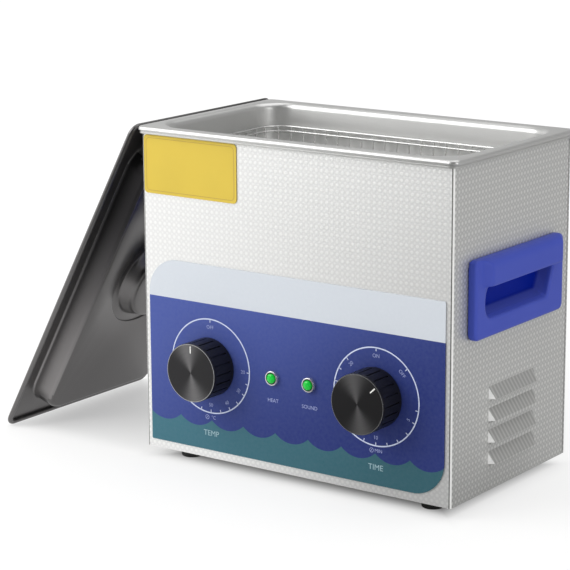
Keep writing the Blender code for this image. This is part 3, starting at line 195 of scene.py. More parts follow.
def addLamps():
    for name, lamp in lamps.items():
        bpy.ops.object.light_add(type="AREA", location=lamp["at"])
        item = bpy.context.object
        item.name = item.data.name = name
        item.data.shape = "RECTANGLE"
        item.data.size, item.data.size_y = lamp["size"]
        item.data.energy = lamp["power"]
        aim = Vector(lamp["aim"]) - Vector(lamp["at"])
        item.rotation_euler = aim.to_track_quat("-Z", "Y").to_euler()


studio = {
    "ambient": 0.55, "reach": 12.0, "floor": (0.82, 0.82, 0.81), "floorGlow": 1.05,
    "floorShare": 0.35, "floorNear": 0.35, "floorFar": 0.9,  # shadows show near the object only
    # under the body a painted shadow darkens the floor: half sizes, edge, painted shadow tone and share
    "under": (128.0, 76.0), "underEdge": (-0.025, 0.016), "underShadowTone": (0.34, 0.34, 0.34), "underShare": 0.95,
    "lidShadow": (-70.0, 200.0, 84.0), "lidEdge": (-0.03, 0.03), "lidShare": 0.6,
    "rightward": (0.81, -0.585), "dimRight": (-0.04, 0.13),  # a way over the floor, and where it dims
    "rearward": (0.57, 0.79), "dimRear": (-0.05, 0.3), "dimRearShare": 0.62,
    "overhead": (0.15, 0.7), "dimOverhead": 0.6, "roomDistance": 1.6, "floorDim": 0.9}


def seenRays(recipe):
    # 1 for rays from the camera, a glossy bounce or through glass
    path = [recipe.node("ShaderNodeLightPath", output=name)
            for name in ("Is Camera Ray", "Is Glossy Ray", "Is Transmission Ray")]
    return path[0] + path[1] + path[2]


def dimShare(recipe, x, y, reach, lift=None):
    # The room that the metal mirrors darkens to the right and behind the object.
    rightward, rearward = (
        recipe.smooth(x * studio[way][0] + y * studio[way][1], *(edge * reach for edge in studio[dim]))
        for way, dim in (("rightward", "dimRight"), ("rearward", "dimRear")))
    dimmed = rightward * (1 - rearward) + rearward * studio["dimRearShare"]
    if lift:
        overhead = recipe.smooth(lift, *studio["overhead"]) * studio["dimOverhead"]
        dimmed = dimmed + (1 - dimmed) * overhead
    return dimmed * recipe.node("ShaderNodeLightPath", output="Is Glossy Ray")


def addWorld():
    world = bpy.data.worlds.new("studio")
    bpy.context.scene.world = world
    recipe = Recipe(world)
    back = recipe.tree.nodes["Background"]
    x, y, z = recipe.axes(recipe.node("ShaderNodeTexCoord", output="Generated"))
    strength = seenRays(recipe) * (1 - studio["ambient"]) + studio["ambient"]
    strength = strength * (1 - dimShare(recipe, x, y, studio["roomDistance"], z))
    recipe.tree.links.new(strength.socket, back.inputs["Strength"])
    back.inputs["Color"].default_value = (1, 1, 1, 1)
    bpy.context.scene.view_settings.view_transform = "Standard"


def addFloor(level):
    bpy.ops.mesh.primitive_plane_add(size=studio["reach"], location=(0, 0, level))
    floor = bpy.context.object
    floor.name = "floor"
    bpy.ops.object.transform_apply(location=True)
    recipe = newMaterial("pale floor")
    x, y, z = recipe.axes()
    radius = recipe.node("ShaderNodeVectorMath", {"operation": "LENGTH"},
                         {0: recipe.node("ShaderNodeCombineXYZ", values={0: x, 1: y})}, output=1)
    grain = recipe.noise(220.0)
    tone = recipe.blend(grain * 0.06, studio["floor"], tuple(c * 0.9 for c in studio["floor"]))
    halfX, halfY = studio["under"]
    beside = recipe.maximum(abs(x) - halfX * mm, abs(y) - halfY * mm)
    under = 1 - recipe.smooth(beside, *studio["underEdge"])
    # Painted shadow: the floor's colour is darkened to grey under the body.
    tone = recipe.blend(under, tone, studio["underShadowTone"])
    lit = recipe.node("ShaderNodeBsdfDiffuse", values={"Color": tone})
    glow = recipe.node("ShaderNodeEmission", values={"Color": (1, 1, 1, 1), "Strength": studio["floorGlow"]})
    near = 1 - recipe.smooth(radius, studio["floorNear"], studio["floorFar"])
    share = recipe.maximum(near * studio["floorShare"], under * studio["underShare"])
    middle, halfX, halfY = studio["lidShadow"]
    beside = recipe.maximum(abs(x - middle * mm) - halfX * mm, abs(y) - halfY * mm)
    share = recipe.maximum(share, (1 - recipe.smooth(beside, *studio["lidEdge"])) * studio["lidShare"])
    seen = recipe.node("ShaderNodeMixShader", values={0: share, 1: glow, 2: lit})
    shade = recipe.node("ShaderNodeBsdfDiffuse", values={"Color": (0.05, 0.05, 0.05, 1)})
    dimmed = dimShare(recipe, x, y, 1.0) * studio["floorDim"]
    seen = recipe.node("ShaderNodeMixShader", values={0: dimmed, 1: seen, 2: shade})
    both = recipe.node("ShaderNodeMixShader", values={0: seenRays(recipe), 1: lit, 2: seen})
    recipe.tree.links.new(both.socket, recipe.tree.nodes["Material Output"].inputs["Surface"])
    floor.data.materials.append(recipe.owner)


addCamera()
addLamps()
addWorld()
addFloor(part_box("foot_front_left")[0].z)

print("materials")

embossed = {
    "pitch": (4.26, 4.31), "dome": 1.7, "ring": 1.15, "roughness": 0.38,
    "color": (0.93, 0.93, 0.915), "valley": (0.82, 0.82, 0.81),
    # the end walls take darker copies of the same tones: painted shade
    "sides": 129.5, "sideShadeColor": (0.80, 0.80, 0.785), "sideShadeValley": (0.58, 0.58, 0.57),
    # the front corner bend: a painted dark reflection line and a painted bright strip
    "bendReflectionLine": 128.7, "bendReflectionWidth": 0.42, "bendReflectionTone": (0.05, 0.05, 0.05), "fold": 1.2, "rearPanel": 2.0}


def embossedSteel():
    # Domes on a square lattice with a small ring between each four, pressed into satin sheet.
    recipe = newMaterial("embossed steel")
    x, y, z = recipe.axes()
    side = recipe.node("ShaderNodeMath", {"operation": "SIGN"}, {0: x})
    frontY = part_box("casing_wrap")[0].y
    aheadOfRear = y < (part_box("rear_panel")[1].y - embossed["rearPanel"] * mm)
    along = x + side * (y - frontY) * aheadOfRear
    cells = []
    for shift in (0.0, 0.5):
        across, upward = (abs((way / (pitch * mm) + 0.5 + shift) % 1 - 0.5) * pitch
                          for way, pitch in zip((along, z), embossed["pitch"]))
        cells.append((across * across + upward * upward) ** 0.5)
    domes = 1 - recipe.smooth(cells[0], 0.35 * embossed["dome"], embossed["dome"])
    rings = 1 - recipe.smooth(cells[1], 0.3 * embossed["ring"], embossed["ring"])
    grain = recipe.noise(900.0, stretch=(1, 1, 0.08))
    # Painted shade: the end walls past this are given darker copies of the front's dome and valley tones.
    sides = abs(x) > embossed["sides"] * mm
    valley = recipe.blend(sides, embossed["valley"], embossed["sideShadeValley"])
    tone = recipe.blend(domes + rings * 0.7, valley,
                        recipe.blend(sides, embossed["color"], embossed["sideShadeColor"]))
    tone = recipe.blend(grain * 0.12, tone, tuple(c * 0.8 for c in embossed["color"]))
    fore = y < (frontY + embossed["fold"] * mm)
    # The bend strip at the front corners is smooth, unembossed sheet; its plain light tone with little
    # metallic is a painted highlight.
    smoothBendHighlight = fore * (abs(x) > embossed["bendReflectionLine"] * mm)
    tone = recipe.blend(smoothBendHighlight, tone, embossed["color"])
    # Painted reflection: a near-black line where the bend begins stands in for the bend's dark reflection.
    bendReflectionLine = abs(abs(x) - embossed["bendReflectionLine"] * mm) < embossed["bendReflectionWidth"] * mm
    tone = recipe.blend(fore * bendReflectionLine * 0.85, tone, embossed["bendReflectionTone"])
    height = (domes + rings * 0.5 + grain * 0.02) * (1 - smoothBendHighlight)
    return recipe.surface(color=tone, metallic=0.65 - smoothBendHighlight * 0.5,
                          roughness=embossed["roughness"] + grain * 0.08,
                          normal=recipe.bump(height, 0.22, 0.2 * mm))


def satinSteel(name, color, roughness, metallic=0.9, deep=None):
    # Plain sheet with fine drawing lines and a little handling haze
    recipe = newMaterial(name)
    lines = recipe.noise(1100.0, stretch=(0.06, 1, 1))
    haze = recipe.noise(24.0, 4)
    tone = recipe.blend(lines * 0.12, color, tuple(c * 0.72 for c in color))
    tone = recipe.blend(recipe.smooth(haze, 0.3, 0.9) * 0.15, tone, tuple(c * 0.85 for c in color))
    if deep:  # painted light and shade: a tone painted low down, and the two heights between which it fades
        shade, low, high = deep
        tone = recipe.blend(recipe.smooth(recipe.axes()[2], low * mm, high * mm), shade, tone)
    return recipe.surface(color=tone, metallic=metallic, roughness=roughness + haze * 0.06,
                          normal=recipe.bump(lines, 0.12, 0.05 * mm))


def moulded(name, color, roughness, grain=0.04):
    # Moulded plastic, rubber or fired body, with fine grain and soft mottling
    recipe = newMaterial(name)
    fine = recipe.noise(1600.0)
    broad = recipe.noise(30.0)
    tone = recipe.blend(recipe.smooth(broad, 0.35, 0.75) * 0.25, color, tuple(c * 0.82 for c in color))
    return recipe.surface(color=tone, roughness=roughness + fine * 0.1,
                          normal=recipe.bump(fine, 0.25, grain * mm))


steels = {  # colour, roughness, how metallic where it isn't 0.9, and where given a tone painted low down as painted light and shade, with its two heights
    "satin_steel": ((0.62, 0.62, 0.61), 0.33, 0.72),
    # Painted light: the tank's inside is painted much lighter below 198 mm, standing in for reflected light.
    "tank steel": ((0.62, 0.62, 0.61), 0.33, 0.72, ((0.95, 0.95, 0.94), 198.0, 224.0)),
    # Painted shade: the lid's stainless is a much darker copy of the same steel.
    "lid_steel": ((0.155, 0.15, 0.15), 0.26),
    # Painted shade: the plug's front wall is near black at the top, painted lighter low down.
    "lid wall steel painted shade": ((0.045, 0.043, 0.045), 0.36, 0.9, ((0.26, 0.25, 0.25), 10.0, 175.0)),
    "wire_steel": ((0.72, 0.72, 0.71), 0.24, 0.75),
    "bright_metal": ((0.82, 0.82, 0.82), 0.12),
    "edge metal": ((0.40, 0.40, 0.40), 0.22),
    # Painted highlight: near-white, hardly metallic steel for the louvres' cheeks.
    "louvre cheek highlight": ((0.95, 0.95, 0.94), 0.45, 0.1),
    "aluminium": ((0.80, 0.80, 0.82), 0.3),
    "copper": ((0.72, 0.36, 0.22), 0.28),
    "black_metal": ((0.035, 0.034, 0.036), 0.34, 0.8),
}
mouldings = {  # colour, roughness, and the grain's depth where it isn't 0.04
    "blue_plastic": ((0.05, 0.078, 0.45), 0.42),
    "blue_print": ((0.08, 0.11, 0.38), 0.4),
    "yellow_print": ((0.63, 0.46, 0.045), 0.5),
    "green_lens": ((0.01, 0.55, 0.05), 0.1),
    "black_plastic": ((0.022, 0.022, 0.024), 0.45),
    "white_plastic": ((0.8, 0.8, 0.77), 0.4),
    "rubber": ((0.02, 0.02, 0.02), 0.75, 0.08),
    "ceramic": ((0.6, 0.52, 0.38), 0.6),
    "ferrite": ((0.05, 0.05, 0.06), 0.55, 0.08),
    "orange_silicone": ((0.65, 0.16, 0.03), 0.6),
    "board_green": ((0.02, 0.2, 0.06), 0.35),
}
finishes = {"embossed_steel": embossedSteel()}
finishes.update((name, satinSteel(name, *values)) for name, values in steels.items())
finishes.update((name, moulded(name, *values)) for name, values in mouldings.items())

slotOf = {entry["node"]: entry["material_slot"] for entry in frame["record"]["subparts"]}
for name, item in cad.items():
    for slot in item.material_slots:
        slot.material = finishes[slotOf[name]]

print("tools for modelling")


def rest():
    # Object mode with nothing selected
    if bpy.context.mode != "OBJECT":
        bpy.ops.object.mode_set(mode="OBJECT")
    bpy.ops.object.select_all(action="DESELECT")


def edit(item):
    rest()
    item.select_set(True)
    bpy.context.view_layer.objects.active = item
    bpy.ops.object.mode_set(mode="EDIT")
    bpy.ops.mesh.select_all(action="DESELECT")


def pick(item, test, kind="FACE", extend=False):
    # Selects the faces, edges or corners that pass a test.
    bpy.ops.mesh.select_mode(type=kind)
    if not extend:
        bpy.ops.mesh.select_all(action="DESELECT")
    mesh = bmesh.from_edit_mesh(item.data)
    mesh.normal_update()
    parts = {"FACE": mesh.faces, "EDGE": mesh.edges, "VERT": mesh.verts}[kind]
    found = [part for part in parts if test(part)]
    for part in found:
        part.select_set(True)
    mesh.select_flush_mode()
    bmesh.update_edit_mesh(item.data)
    return len(found)


def pickAll(kind="FACE"):
    bpy.ops.mesh.select_mode(type=kind)
    bpy.ops.mesh.select_all(action="SELECT")


def boxBlock(name, low, high):
    # A block between two corners, in edit mode with all of it selected
    rest()
    low, high = Vector(low), Vector(high)
    bpy.ops.mesh.primitive_cube_add(size=1, location=(low + high) / 2)
    return begin(name, high - low)


def begin(name, scale=(1, 1, 1)):
    item = bpy.context.object
    item.name = item.data.name = name
    item.scale = scale
    bpy.ops.object.transform_apply(location=True, rotation=True, scale=True)
    edit(item)
    bpy.ops.mesh.select_all(action="SELECT")
    return item


def roundedPlate(name, halfX, halfY, corner, z=0.0, steps=10):
    # A flat face with round corners, in edit mode with the face selected
    rest()
    bpy.ops.mesh.primitive_plane_add(size=2, location=(0, 0, z))
    item = begin(name, (halfX, halfY, 1))
    bpy.ops.mesh.select_mode(type="VERT")
    bpy.ops.mesh.select_all(action="SELECT")
    bpy.ops.mesh.bevel(affect="VERTICES", offset=corner, segments=steps, profile=0.5, clamp_overlap=False)
    bpy.ops.mesh.remove_doubles(threshold=1e-6)
    pickAll()
    return item


def walkIn(steps):
    # Insets the selected face again and again: each step is how far in and how far up.
    for inward, up in steps:
        bpy.ops.mesh.inset(thickness=max(inward, 0.0), depth=up, use_even_offset=True)


def apply(item, kind, **settings):
    rest()
    item.select_set(True)
    bpy.context.view_layer.objects.active = item
    step = item.modifiers.new(kind.lower(), kind)
    for name, value in settings.items():
        setattr(step, name, value)
    bpy.ops.object.modifier_apply(modifier=step.name)


def carve(item, cutter, operation="DIFFERENCE"):
    apply(item, "BOOLEAN", object=cutter, operation=operation, solver="EXACT")
    bpy.data.objects.remove(cutter)


def settle(item):
    # A finished shape's place goes into its mesh.
    rest()
    item.select_set(True)
    bpy.context.view_layer.objects.active = item
    bpy.ops.object.transform_apply(location=True, rotation=True, scale=True)


def joinAll(name, items):
    rest()
    for item in items:
        item.select_set(True)
    bpy.context.view_layer.objects.active = items[0]
    if len(items) > 1:
        bpy.ops.object.join()
    items[0].name = items[0].data.name = name
    return items[0]


def complete(item, finish, body, *nodes, smooth=35, merge=1e-6, outward=True):
    # Merges doubles, turns faces outward, shades, paints and hands the piece to its body.
    edit(item)
    pickAll("VERT")
    bpy.ops.mesh.remove_doubles(threshold=merge)
    if outward:
        pickAll()
        bpy.ops.mesh.normals_make_consistent(inside=False)
    rest()
    item.select_set(True)
    bpy.context.view_layer.objects.active = item
    bpy.ops.object.shade_smooth_by_angle(angle=math.radians(smooth))
    if not item.data.materials:
        for name in [finish] if isinstance(finish, str) else finish:
            item.data.materials.append(finishes[name])
    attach(item, body)
    if nodes:
        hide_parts(*nodes)
    return item


print("front overlay and label")

overlay = {
    "corner": 25.0, "small": 1.0, "lampHole": 4.3, "shaftHole": 5.4, "holeDepth": 6.0,
    "header": 115.0, "crest": 29.6, "trough": 24.0, "pitch": 28.0,  # heights, and one scallop's width
    "headerColor": (0.60, 0.635, 0.68), "blueLight": (0.058, 0.088, 0.325), "blueDeep": (0.013, 0.026, 0.165),
    "teal": (0.047, 0.16, 0.205), "tealDeep": (0.026, 0.105, 0.13), "speck": (0.3, 0.33, 0.42)}
inks = {"pale ink": (0.60, 0.66, 0.85), "soft ink": (0.33, 0.38, 0.66), "teal ink": (0.34, 0.50, 0.55),
        "brown ink": (0.42, 0.27, 0.05)}


def overlayPrint():
    # Grey header over blue, and a scalloped edge over the teal foot.
    recipe = newMaterial("overlay print")
    x, y, z = recipe.axes()
    acrossWave = abs((x / mm + overlay["pitch"] * 0.5) % overlay["pitch"] - overlay["pitch"] * 0.5)
    rise = overlay["crest"] - overlay["trough"]
    bow = ((overlay["pitch"] / 2) ** 2 + rise ** 2) / (2 * rise)
    wave = bow + overlay["trough"] - (bow * bow - acrossWave * acrossWave) ** 0.5
    low = z / mm < wave
    high = z / mm > overlay["header"]
    fade = recipe.smooth(x * 0.6 - z, -0.17, 0.0)
    tealFade = recipe.smooth(x, -0.15, 0.12)
    blue = recipe.blend(fade, overlay["blueLight"], overlay["blueDeep"])
    grain = recipe.noise(420.0, 2)
    tone = recipe.blend(low, blue, recipe.blend(tealFade, overlay["teal"], overlay["tealDeep"]))
    tone = recipe.blend(high, tone, overlay["headerColor"])
    tone = recipe.blend(grain * 0.1, tone, overlay["speck"])
    return recipe.surface(color=tone, roughness=0.42 + grain * 0.1, specular=0.12,
                          normal=recipe.bump(grain, 0.15, 0.03 * mm))


def plainInk(name, color):
    recipe = newMaterial(name)
    grain = recipe.noise(700.0, 2)
    tone = recipe.blend(grain * 0.15, color, tuple(c * 0.8 for c in color))
    return recipe.surface(color=tone, roughness=0.5)


finishes["overlay print"] = overlayPrint()
finishes.update((name, plainInk(name, color)) for name, color in inks.items())


def cornerPlate(name, low, high, corners, y, thickness, steps=16):
    # An upright plate facing forward; corners go round from the lower left.
    rest()
    middle = (Vector(low) + Vector(high)) / 2
    size = Vector(high) - Vector(low)
    bpy.ops.mesh.primitive_plane_add(size=1, location=(middle.x, y, middle.y),
                                     rotation=(math.pi / 2, 0, 0))
    item = begin(name, (size.x, size.y, 1))
    places = ((low[0], low[1]), (high[0], low[1]), (high[0], high[1]), (low[0], high[1]))
    for (x, z), corner in zip(places, corners):
        pick(item, lambda v: (v.co - Vector((x, y, z))).length < 1e-5, "VERT")
        bpy.ops.mesh.bevel(affect="VERTICES", offset=corner, segments=steps, profile=0.5)
    pickAll()
    bpy.ops.mesh.extrude_region_move(TRANSFORM_OT_translate={"value": (0, -thickness, 0)})
    rest()
    return item


def addOverlay():
    low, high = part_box("fascia_overlay")
    big, small = overlay["corner"] * mm, overlay["small"] * mm
    item = cornerPlate("overlay", (low.x, low.z), (high.x, high.z), (small, big, small, big),
                       high.y, high.y - low.y)
    for node in ("temp_shaft", "time_shaft", "heat_lamp_bezel", "sound_lamp_bezel"):
        first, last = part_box(node)
        radius = overlay["lampHole"] if "lamp" in node else overlay["shaftHole"]
        bpy.ops.mesh.primitive_cylinder_add(
            vertices=48, radius=radius * mm, depth=overlay["holeDepth"] * mm,
            location=((first.x + last.x) / 2, low.y, (first.z + last.z) / 2), rotation=(math.pi / 2, 0, 0))
        carve(item, bpy.context.object)
    complete(item, "overlay print", "cleaner", "fascia_overlay", smooth=30, merge=1e-7)
    return low.y


def flatRing(name, x, z, y, radius, width, steps=96):
    rest()
    bpy.ops.mesh.primitive_circle_add(vertices=steps, radius=radius, fill_type="NGON",
                                      location=(x, y, z), rotation=(math.pi / 2, 0, 0))
    item = begin(name)
    pickAll()
    bpy.ops.mesh.inset(thickness=width, depth=0)
    bpy.ops.mesh.delete(type="FACE")
    rest()
    return item


def flatBar(name, x, z, y, length, width, angle):
    # A stroke whose outer end is at x and z; the angle is clockwise from the top.
    rest()
    bpy.ops.mesh.primitive_plane_add(size=1, location=(0, 0, -length / 2),
                                     rotation=(math.pi / 2, 0, 0))
    item = begin(name, (width, length, 1))
    rest()
    item.rotation_euler = (0, angle, 0)
    item.location = (x, y, z)
    settle(item)
    return item


def words(name, text, x, z, y, height, turn=0.0):
    # Lettering of a plain face, centred, upright and facing forward
    rest()
    bpy.ops.object.text_add()
    item = bpy.context.object
    item.data.body = text
    item.data.size = height * 1.4
    item.data.align_x = "CENTER"
    item.data.align_y = "CENTER"
    item.data.resolution_u = 4
    bpy.ops.object.convert(target="MESH")
    item = bpy.context.object
    item.rotation_euler = (math.pi / 2, 0, 0)
    settle(item)
    item.rotation_euler = (0, turn, 0)
    item.location = (x, y, z)
    settle(item)
    item.name = item.data.name = name
    return item


dials = {  # angles are clockwise from the top
    "temp": {"marks": ((0, "OFF"), (90, "20"), (120, "30"), (150, "40"), (180, "50")),
             "ticks": (0, *range(90, 196, 15)), "unit": "\u00b0C", "word": "TEMP"},
    "time": {"marks": ((0, "ON"), (47, "OFF"), (114, "5"), (180, "10"), (248, "15"), (315, "20")),
             "ticks": (0, 47, 98, 114, 131, 148, 164, 180, 197, 214, 231, 248, 265, 281, 298, 315),
             "unit": "MIN", "word": "TIME"},
}
marks = {"ring": 34.9, "line": 0.9, "tick": (0.6, 2.4), "lift": 0.06, "figure": 2.6, "inset": 6.2,
         "longInset": 6.4, "below": 3.0, "clock": (-3.4, 1.7, 0.35),
         "hand": (-2.5, 1.2, 3.0, 40.0), "unit": (2.2, 2.5),
         "word": (19.6, 4.1), "lampWord": (16.5, 2.7)}


def addDial(kind, dial, y):
    # A ring with ticks, the figures inside it, and the unit and the word below
    low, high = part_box(kind + "_shaft")
    x, z = (low.x + high.x) / 2, (low.z + high.z) / 2
    radius, line = marks["ring"] * mm, marks["line"] * mm
    lines = [flatRing("ring", x, z, y, radius, line)]
    for turn in map(math.radians, dial["ticks"]):
        start = radius - line / 2
        lines.append(flatBar("tick", x + start * math.sin(turn), z + start * math.cos(turn), y,
                             marks["tick"][1] * mm, marks["tick"][0] * mm, turn))
    made = []
    for angle, text in dial["marks"]:
        turn = math.radians(angle)
        upright = 0.0 if angle in (0, 90, 180) else turn + math.pi * (90 < angle < 270)
        reach = radius - (marks["inset"] if len(text) < 3 else marks["longInset"]) * mm
        made.append(words("mark", text, x + reach * math.sin(turn), z + reach * math.cos(turn),
                          y, marks["figure"] * mm, upright))
    below = z - radius - marks["below"] * mm
    aside, size, width = (length * mm for length in marks["clock"])
    made.append(flatRing("unit ring", x + aside, below, y, size, width, 32))
    aside, rise, length = (length * mm for length in marks["hand"][:3])
    made.append(flatBar("unit stroke", x + aside, below + rise, y, length, width,
                        math.radians(marks["hand"][3])))
    made.append(words("unit", dial["unit"], x + marks["unit"][0] * mm, below, y, marks["unit"][1] * mm))
    word = words(kind + "_word", dial["word"], x, marks["word"][0] * mm, y, marks["word"][1] * mm)
    finishPrint(word, "teal ink")
    finishPrint(joinAll(kind + "_ring", lines), "pale ink")
    finishPrint(joinAll(kind + "_marks", made), "soft ink")


def finishPrint(item, ink):
    complete(item, ink, "cleaner", smooth=30, merge=1e-7, outward=False)


def addMarks(front):
    y = front - marks["lift"] * mm
    for kind, dial in dials.items():
        addDial(kind, dial, y)
    made = []
    for kind, text in (("heat", "HEAT"), ("sound", "SOUND")):
        low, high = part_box(kind + "_lamp_bezel")
        drop, height = (length * mm for length in marks["lampWord"])
        made.append(words("lamp word", text, (low.x + high.x) / 2, (low.z + high.z) / 2 - drop, y, height))
    finishPrint(joinAll("lamp_marks", made), "soft ink")


label = {"corner": 3.0, "inset": 2.0, "line": 0.35, "lift": 0.03}


def addLabel():
    low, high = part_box("blank_label")
    corners = (label["corner"] * mm,) * 4
    item = cornerPlate("label", (low.x, low.z), (high.x, high.z), corners, high.y, high.y - low.y, 8)
    complete(item, "yellow_print", "cleaner", "blank_label", smooth=30, merge=1e-7)
    inset, lift = label["inset"] * mm, label["lift"] * mm
    line = cornerPlate("label_line", (low.x + inset, low.z + inset), (high.x - inset, high.z - inset),
                       corners, low.y - lift, lift, 8)
    edit(line)
    pick(line, lambda f: f.normal.y < -0.9)
    bpy.ops.mesh.inset(thickness=label["line"] * mm, depth=0)
    bpy.ops.mesh.delete(type="FACE")
    pick(line, lambda f: f.normal.y > -0.5)
    bpy.ops.mesh.delete(type="FACE")
    rest()
    finishPrint(line, "brown ink")


front = addOverlay()
addMarks(front)
addLabel()

print("tank and lid")

tank = {"reach": (133.5, 81.0), "corner": 6.0, "roll": 2.2, "mouthRound": 4.5, "mouthCorner": 22.0,
        "mouth": (122.0, 69.5), "draft": 2.0, "floorRound": 8.0, "depth": 100.0, "sheet": 0.9,
        "lip": ((0.0, -0.4), (-0.25, -0.5), (-0.6, -0.3), (-0.15, -0.5), (0.35, -0.4), (0.0, -0.7),
                (-0.3, -0.3), (-1.6, 0.0))}


def scaled(steps):
    return [(inward * mm, up * mm) for inward, up in steps]


def addTank():
    # The cup is walked inward from the flange, then bridged to the rolled rim round it.
    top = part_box("tank")[1].z
    grow = tank["mouthRound"]
    cup = roundedPlate("tank_body", (tank["mouth"][0] + grow) * mm, (tank["mouth"][1] + grow) * mm,
                       (tank["mouthCorner"] + grow) * mm, top, 12)
    depth = tank["depth"] - grow - tank["floorRound"]
    rows = 6
    walkIn(scaled([(inward, -up) for inward, up in mouthSteps(grow, 8)]
                  + [(tank["draft"] / rows, -depth / rows)] * rows
                  + [(inward, -up) for inward, up in floorSteps(tank["floorRound"], 8)]
                  + [(12.0, 0.0)]))
    rim = roundedPlate("rim", tank["reach"][0] * mm, tank["reach"][1] * mm, tank["corner"] * mm,
                       top - tank["roll"] * mm, 12)
    walkIn(scaled([(inward, up) for inward, up in floorSteps(tank["roll"], 6)]))
    bpy.ops.mesh.delete(type="FACE")
    rest()
    item = joinAll("tank_shell", [cup, rim])
    edit(item)
    pick(item, lambda f: len(f.verts) > 4 and f.calc_center_median().z > top - 1 * mm)
    bpy.ops.mesh.delete(type="FACE")
    pick(item, lambda e: e.is_boundary and min(v.co.z for v in e.verts) > top - 0.1 * mm, "EDGE")
    bpy.ops.mesh.bridge_edge_loops()
    pick(item, lambda e: e.is_boundary, "EDGE")
    halfX, halfY = tank["reach"]
    for outward, up in tank["lip"]:
        bpy.ops.mesh.extrude_region_move(TRANSFORM_OT_translate={"value": (0, 0, up * mm)})
        bpy.ops.transform.resize(value=((halfX + outward) / halfX, (halfY + outward) / halfY, 1),
                                 center_override=(0, 0, 0))
        halfX, halfY = halfX + outward, halfY + outward
    pickAll()
    bpy.ops.mesh.normals_make_consistent(inside=False)
    apply(item, "SOLIDIFY", thickness=tank["sheet"] * mm, offset=-1)
    complete(item, "tank steel", "cleaner", "tank", smooth=38, outward=False)


def mouthSteps(radius, steps):
    # From level to upright, turning down
    return [(radius * (math.sin(math.pi / 2 * (i + 1) / steps) - math.sin(math.pi / 2 * i / steps)),
             radius * (math.cos(math.pi / 2 * i / steps) - math.cos(math.pi / 2 * (i + 1) / steps)))
            for i in range(steps)]


def floorSteps(radius, steps):
    # From upright to level
    return [(inward, up) for inward, up in ((b, a) for a, b in mouthSteps(radius, steps))]


lid = {"half": (139.0, 84.0), "corner": 8.0, "roll": 1.9, "plug": (120.8, 68.3), "plugFoot": 2.0,
       "plugRound": 4.0, "plugCorner": 20.8, "depth": 18.0, "draft": 2.0, "dish": 45.0, "dishStep": 0.9,
       "ledge": 8.0, "bowl": 11.0, "bowlSlope": 10.0, "bowlRound": 3.0, "sheet": 1.0, "lean": 61.5,
       "steps": 12}


def addLid():
    # Modelled lying flat with its underside down, then leaned and set on the CAD lid's place
    steps = lid["steps"]
    plugX, plugY = lid["plug"]
    grow = lid["plugFoot"]
    plug = roundedPlate("plug", (plugX + grow) * mm, (plugY + grow) * mm, (lid["plugCorner"] + grow) * mm,
                        0, steps)
    wall = lid["depth"] - grow - lid["plugRound"]
    walkIn(scaled([(inward, -up) for inward, up in mouthSteps(grow, 6)]
                  + [(lid["draft"] / 3, -wall / 3)] * 3
                  + [(inward, -up) for inward, up in floorSteps(lid["plugRound"], 6)]))
    radius = lid["dish"] * mm
    dish = roundedPlate("dish", radius, radius, radius, -lid["depth"] * mm, steps)
    rise = lid["dishStep"]
    small = lid["bowlRound"]
    slope = (lid["bowlSlope"] - small) / (lid["bowl"] - small)
    walkIn(scaled([(inward, up) for inward, up in mouthSteps(rise, 3)]
                  + [(lid["ledge"] - 2 * rise, 0.0)]
                  + [(inward, -up) for inward, up in mouthSteps(rise, 3)]
                  + [(slope * (lid["bowl"] - 2 * small) / 4,
                      -(lid["bowl"] - rise - small) / 4)] * 4
                  + [(inward, -up) for inward, up in floorSteps(small, 5)]
                  + [(6.0, 0.0)]))
    rim = roundedPlate("lid_rim", lid["half"][0] * mm, lid["half"][1] * mm, lid["corner"] * mm,
                       -0.4 * lid["roll"] * mm, steps)
    roll = lid["roll"]
    walkIn(scaled([(inward, -up) for inward, up in floorSteps(roll, 5)]
                  + [(inward, up) for inward, up in mouthSteps(roll, 5)]
                  + [(0.2, 0.4 * roll)]))
    bpy.ops.mesh.delete(type="FACE")
    rest()
    item = joinAll("lid_shell", [plug, dish, rim])
    edit(item)
    pick(item, lambda f: len(f.verts) > 4 and (abs(f.calc_center_median().z) < 0.1 * mm
                                               or f.calc_area() > 0.012))
    bpy.ops.mesh.delete(type="FACE")
    for level in (0.0, -lid["depth"]):
        pick(item, lambda e: e.is_boundary and abs(e.verts[0].co.z - level * mm) < 0.02 * mm
             and abs(e.verts[1].co.z - level * mm) < 0.02 * mm, "EDGE")
        bpy.ops.mesh.bridge_edge_loops()
    pick(item, lambda e: e.is_boundary, "EDGE")
    halfX, halfY = lid["half"]
    for inward, up in floorSteps(roll, 5) + [(1.6, 0.0)]:
        bpy.ops.mesh.extrude_region_move(TRANSFORM_OT_translate={"value": (0, 0, up * mm)})
        bpy.ops.transform.resize(value=((halfX - inward) / halfX, (halfY - inward) / halfY, 1),
                                 center_override=(0, 0, 0))
        halfX, halfY = halfX - inward, halfY - inward
    pickAll()
    bpy.ops.mesh.normals_make_consistent(inside=False)
    apply(item, "SOLIDIFY", thickness=lid["sheet"] * mm, offset=-1)
    leanLid(item)
    complete(item, ("lid_steel", "lid wall steel painted shade"), "lid", "lid", smooth=38, outward=False)
    # The plug's front wall faces take the painted-shade steel.
    for face in item.data.polygons:
        inward = face.center.y / mm + lid["plug"][1]
        face.material_index = int(face.normal.y < -0.6 and -2.4 < inward < lid["draft"] + lid["plugRound"])


def leanLid(item):
    settle(item)
    item.rotation_euler = (0, -math.radians(lid["lean"]), 0)
    settle(item)
    low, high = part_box("lid")
    points = [v.co for v in item.data.vertices]
    item.location = (low.x - min(p.x for p in points), (low.y + high.y) / 2,
                     low.z - min(p.z for p in points))
    settle(item)


addTank()
addLid()

print("knobs and lamps")

knob = {"grooves": 20, "panels": 120, "groove": 0.9, "low": 0.12, "high": 0.86, "chamfer": 0.7,
        "ring": 0.45, "ringDepth": 0.3, "pointer": (0.9, 5.2), "pointerInset": 1.6, "grow": 1.7,
        "layers": (0.02, 0.05, 0.12), "turns": {"temp": 0.0, "time": 47.0}}


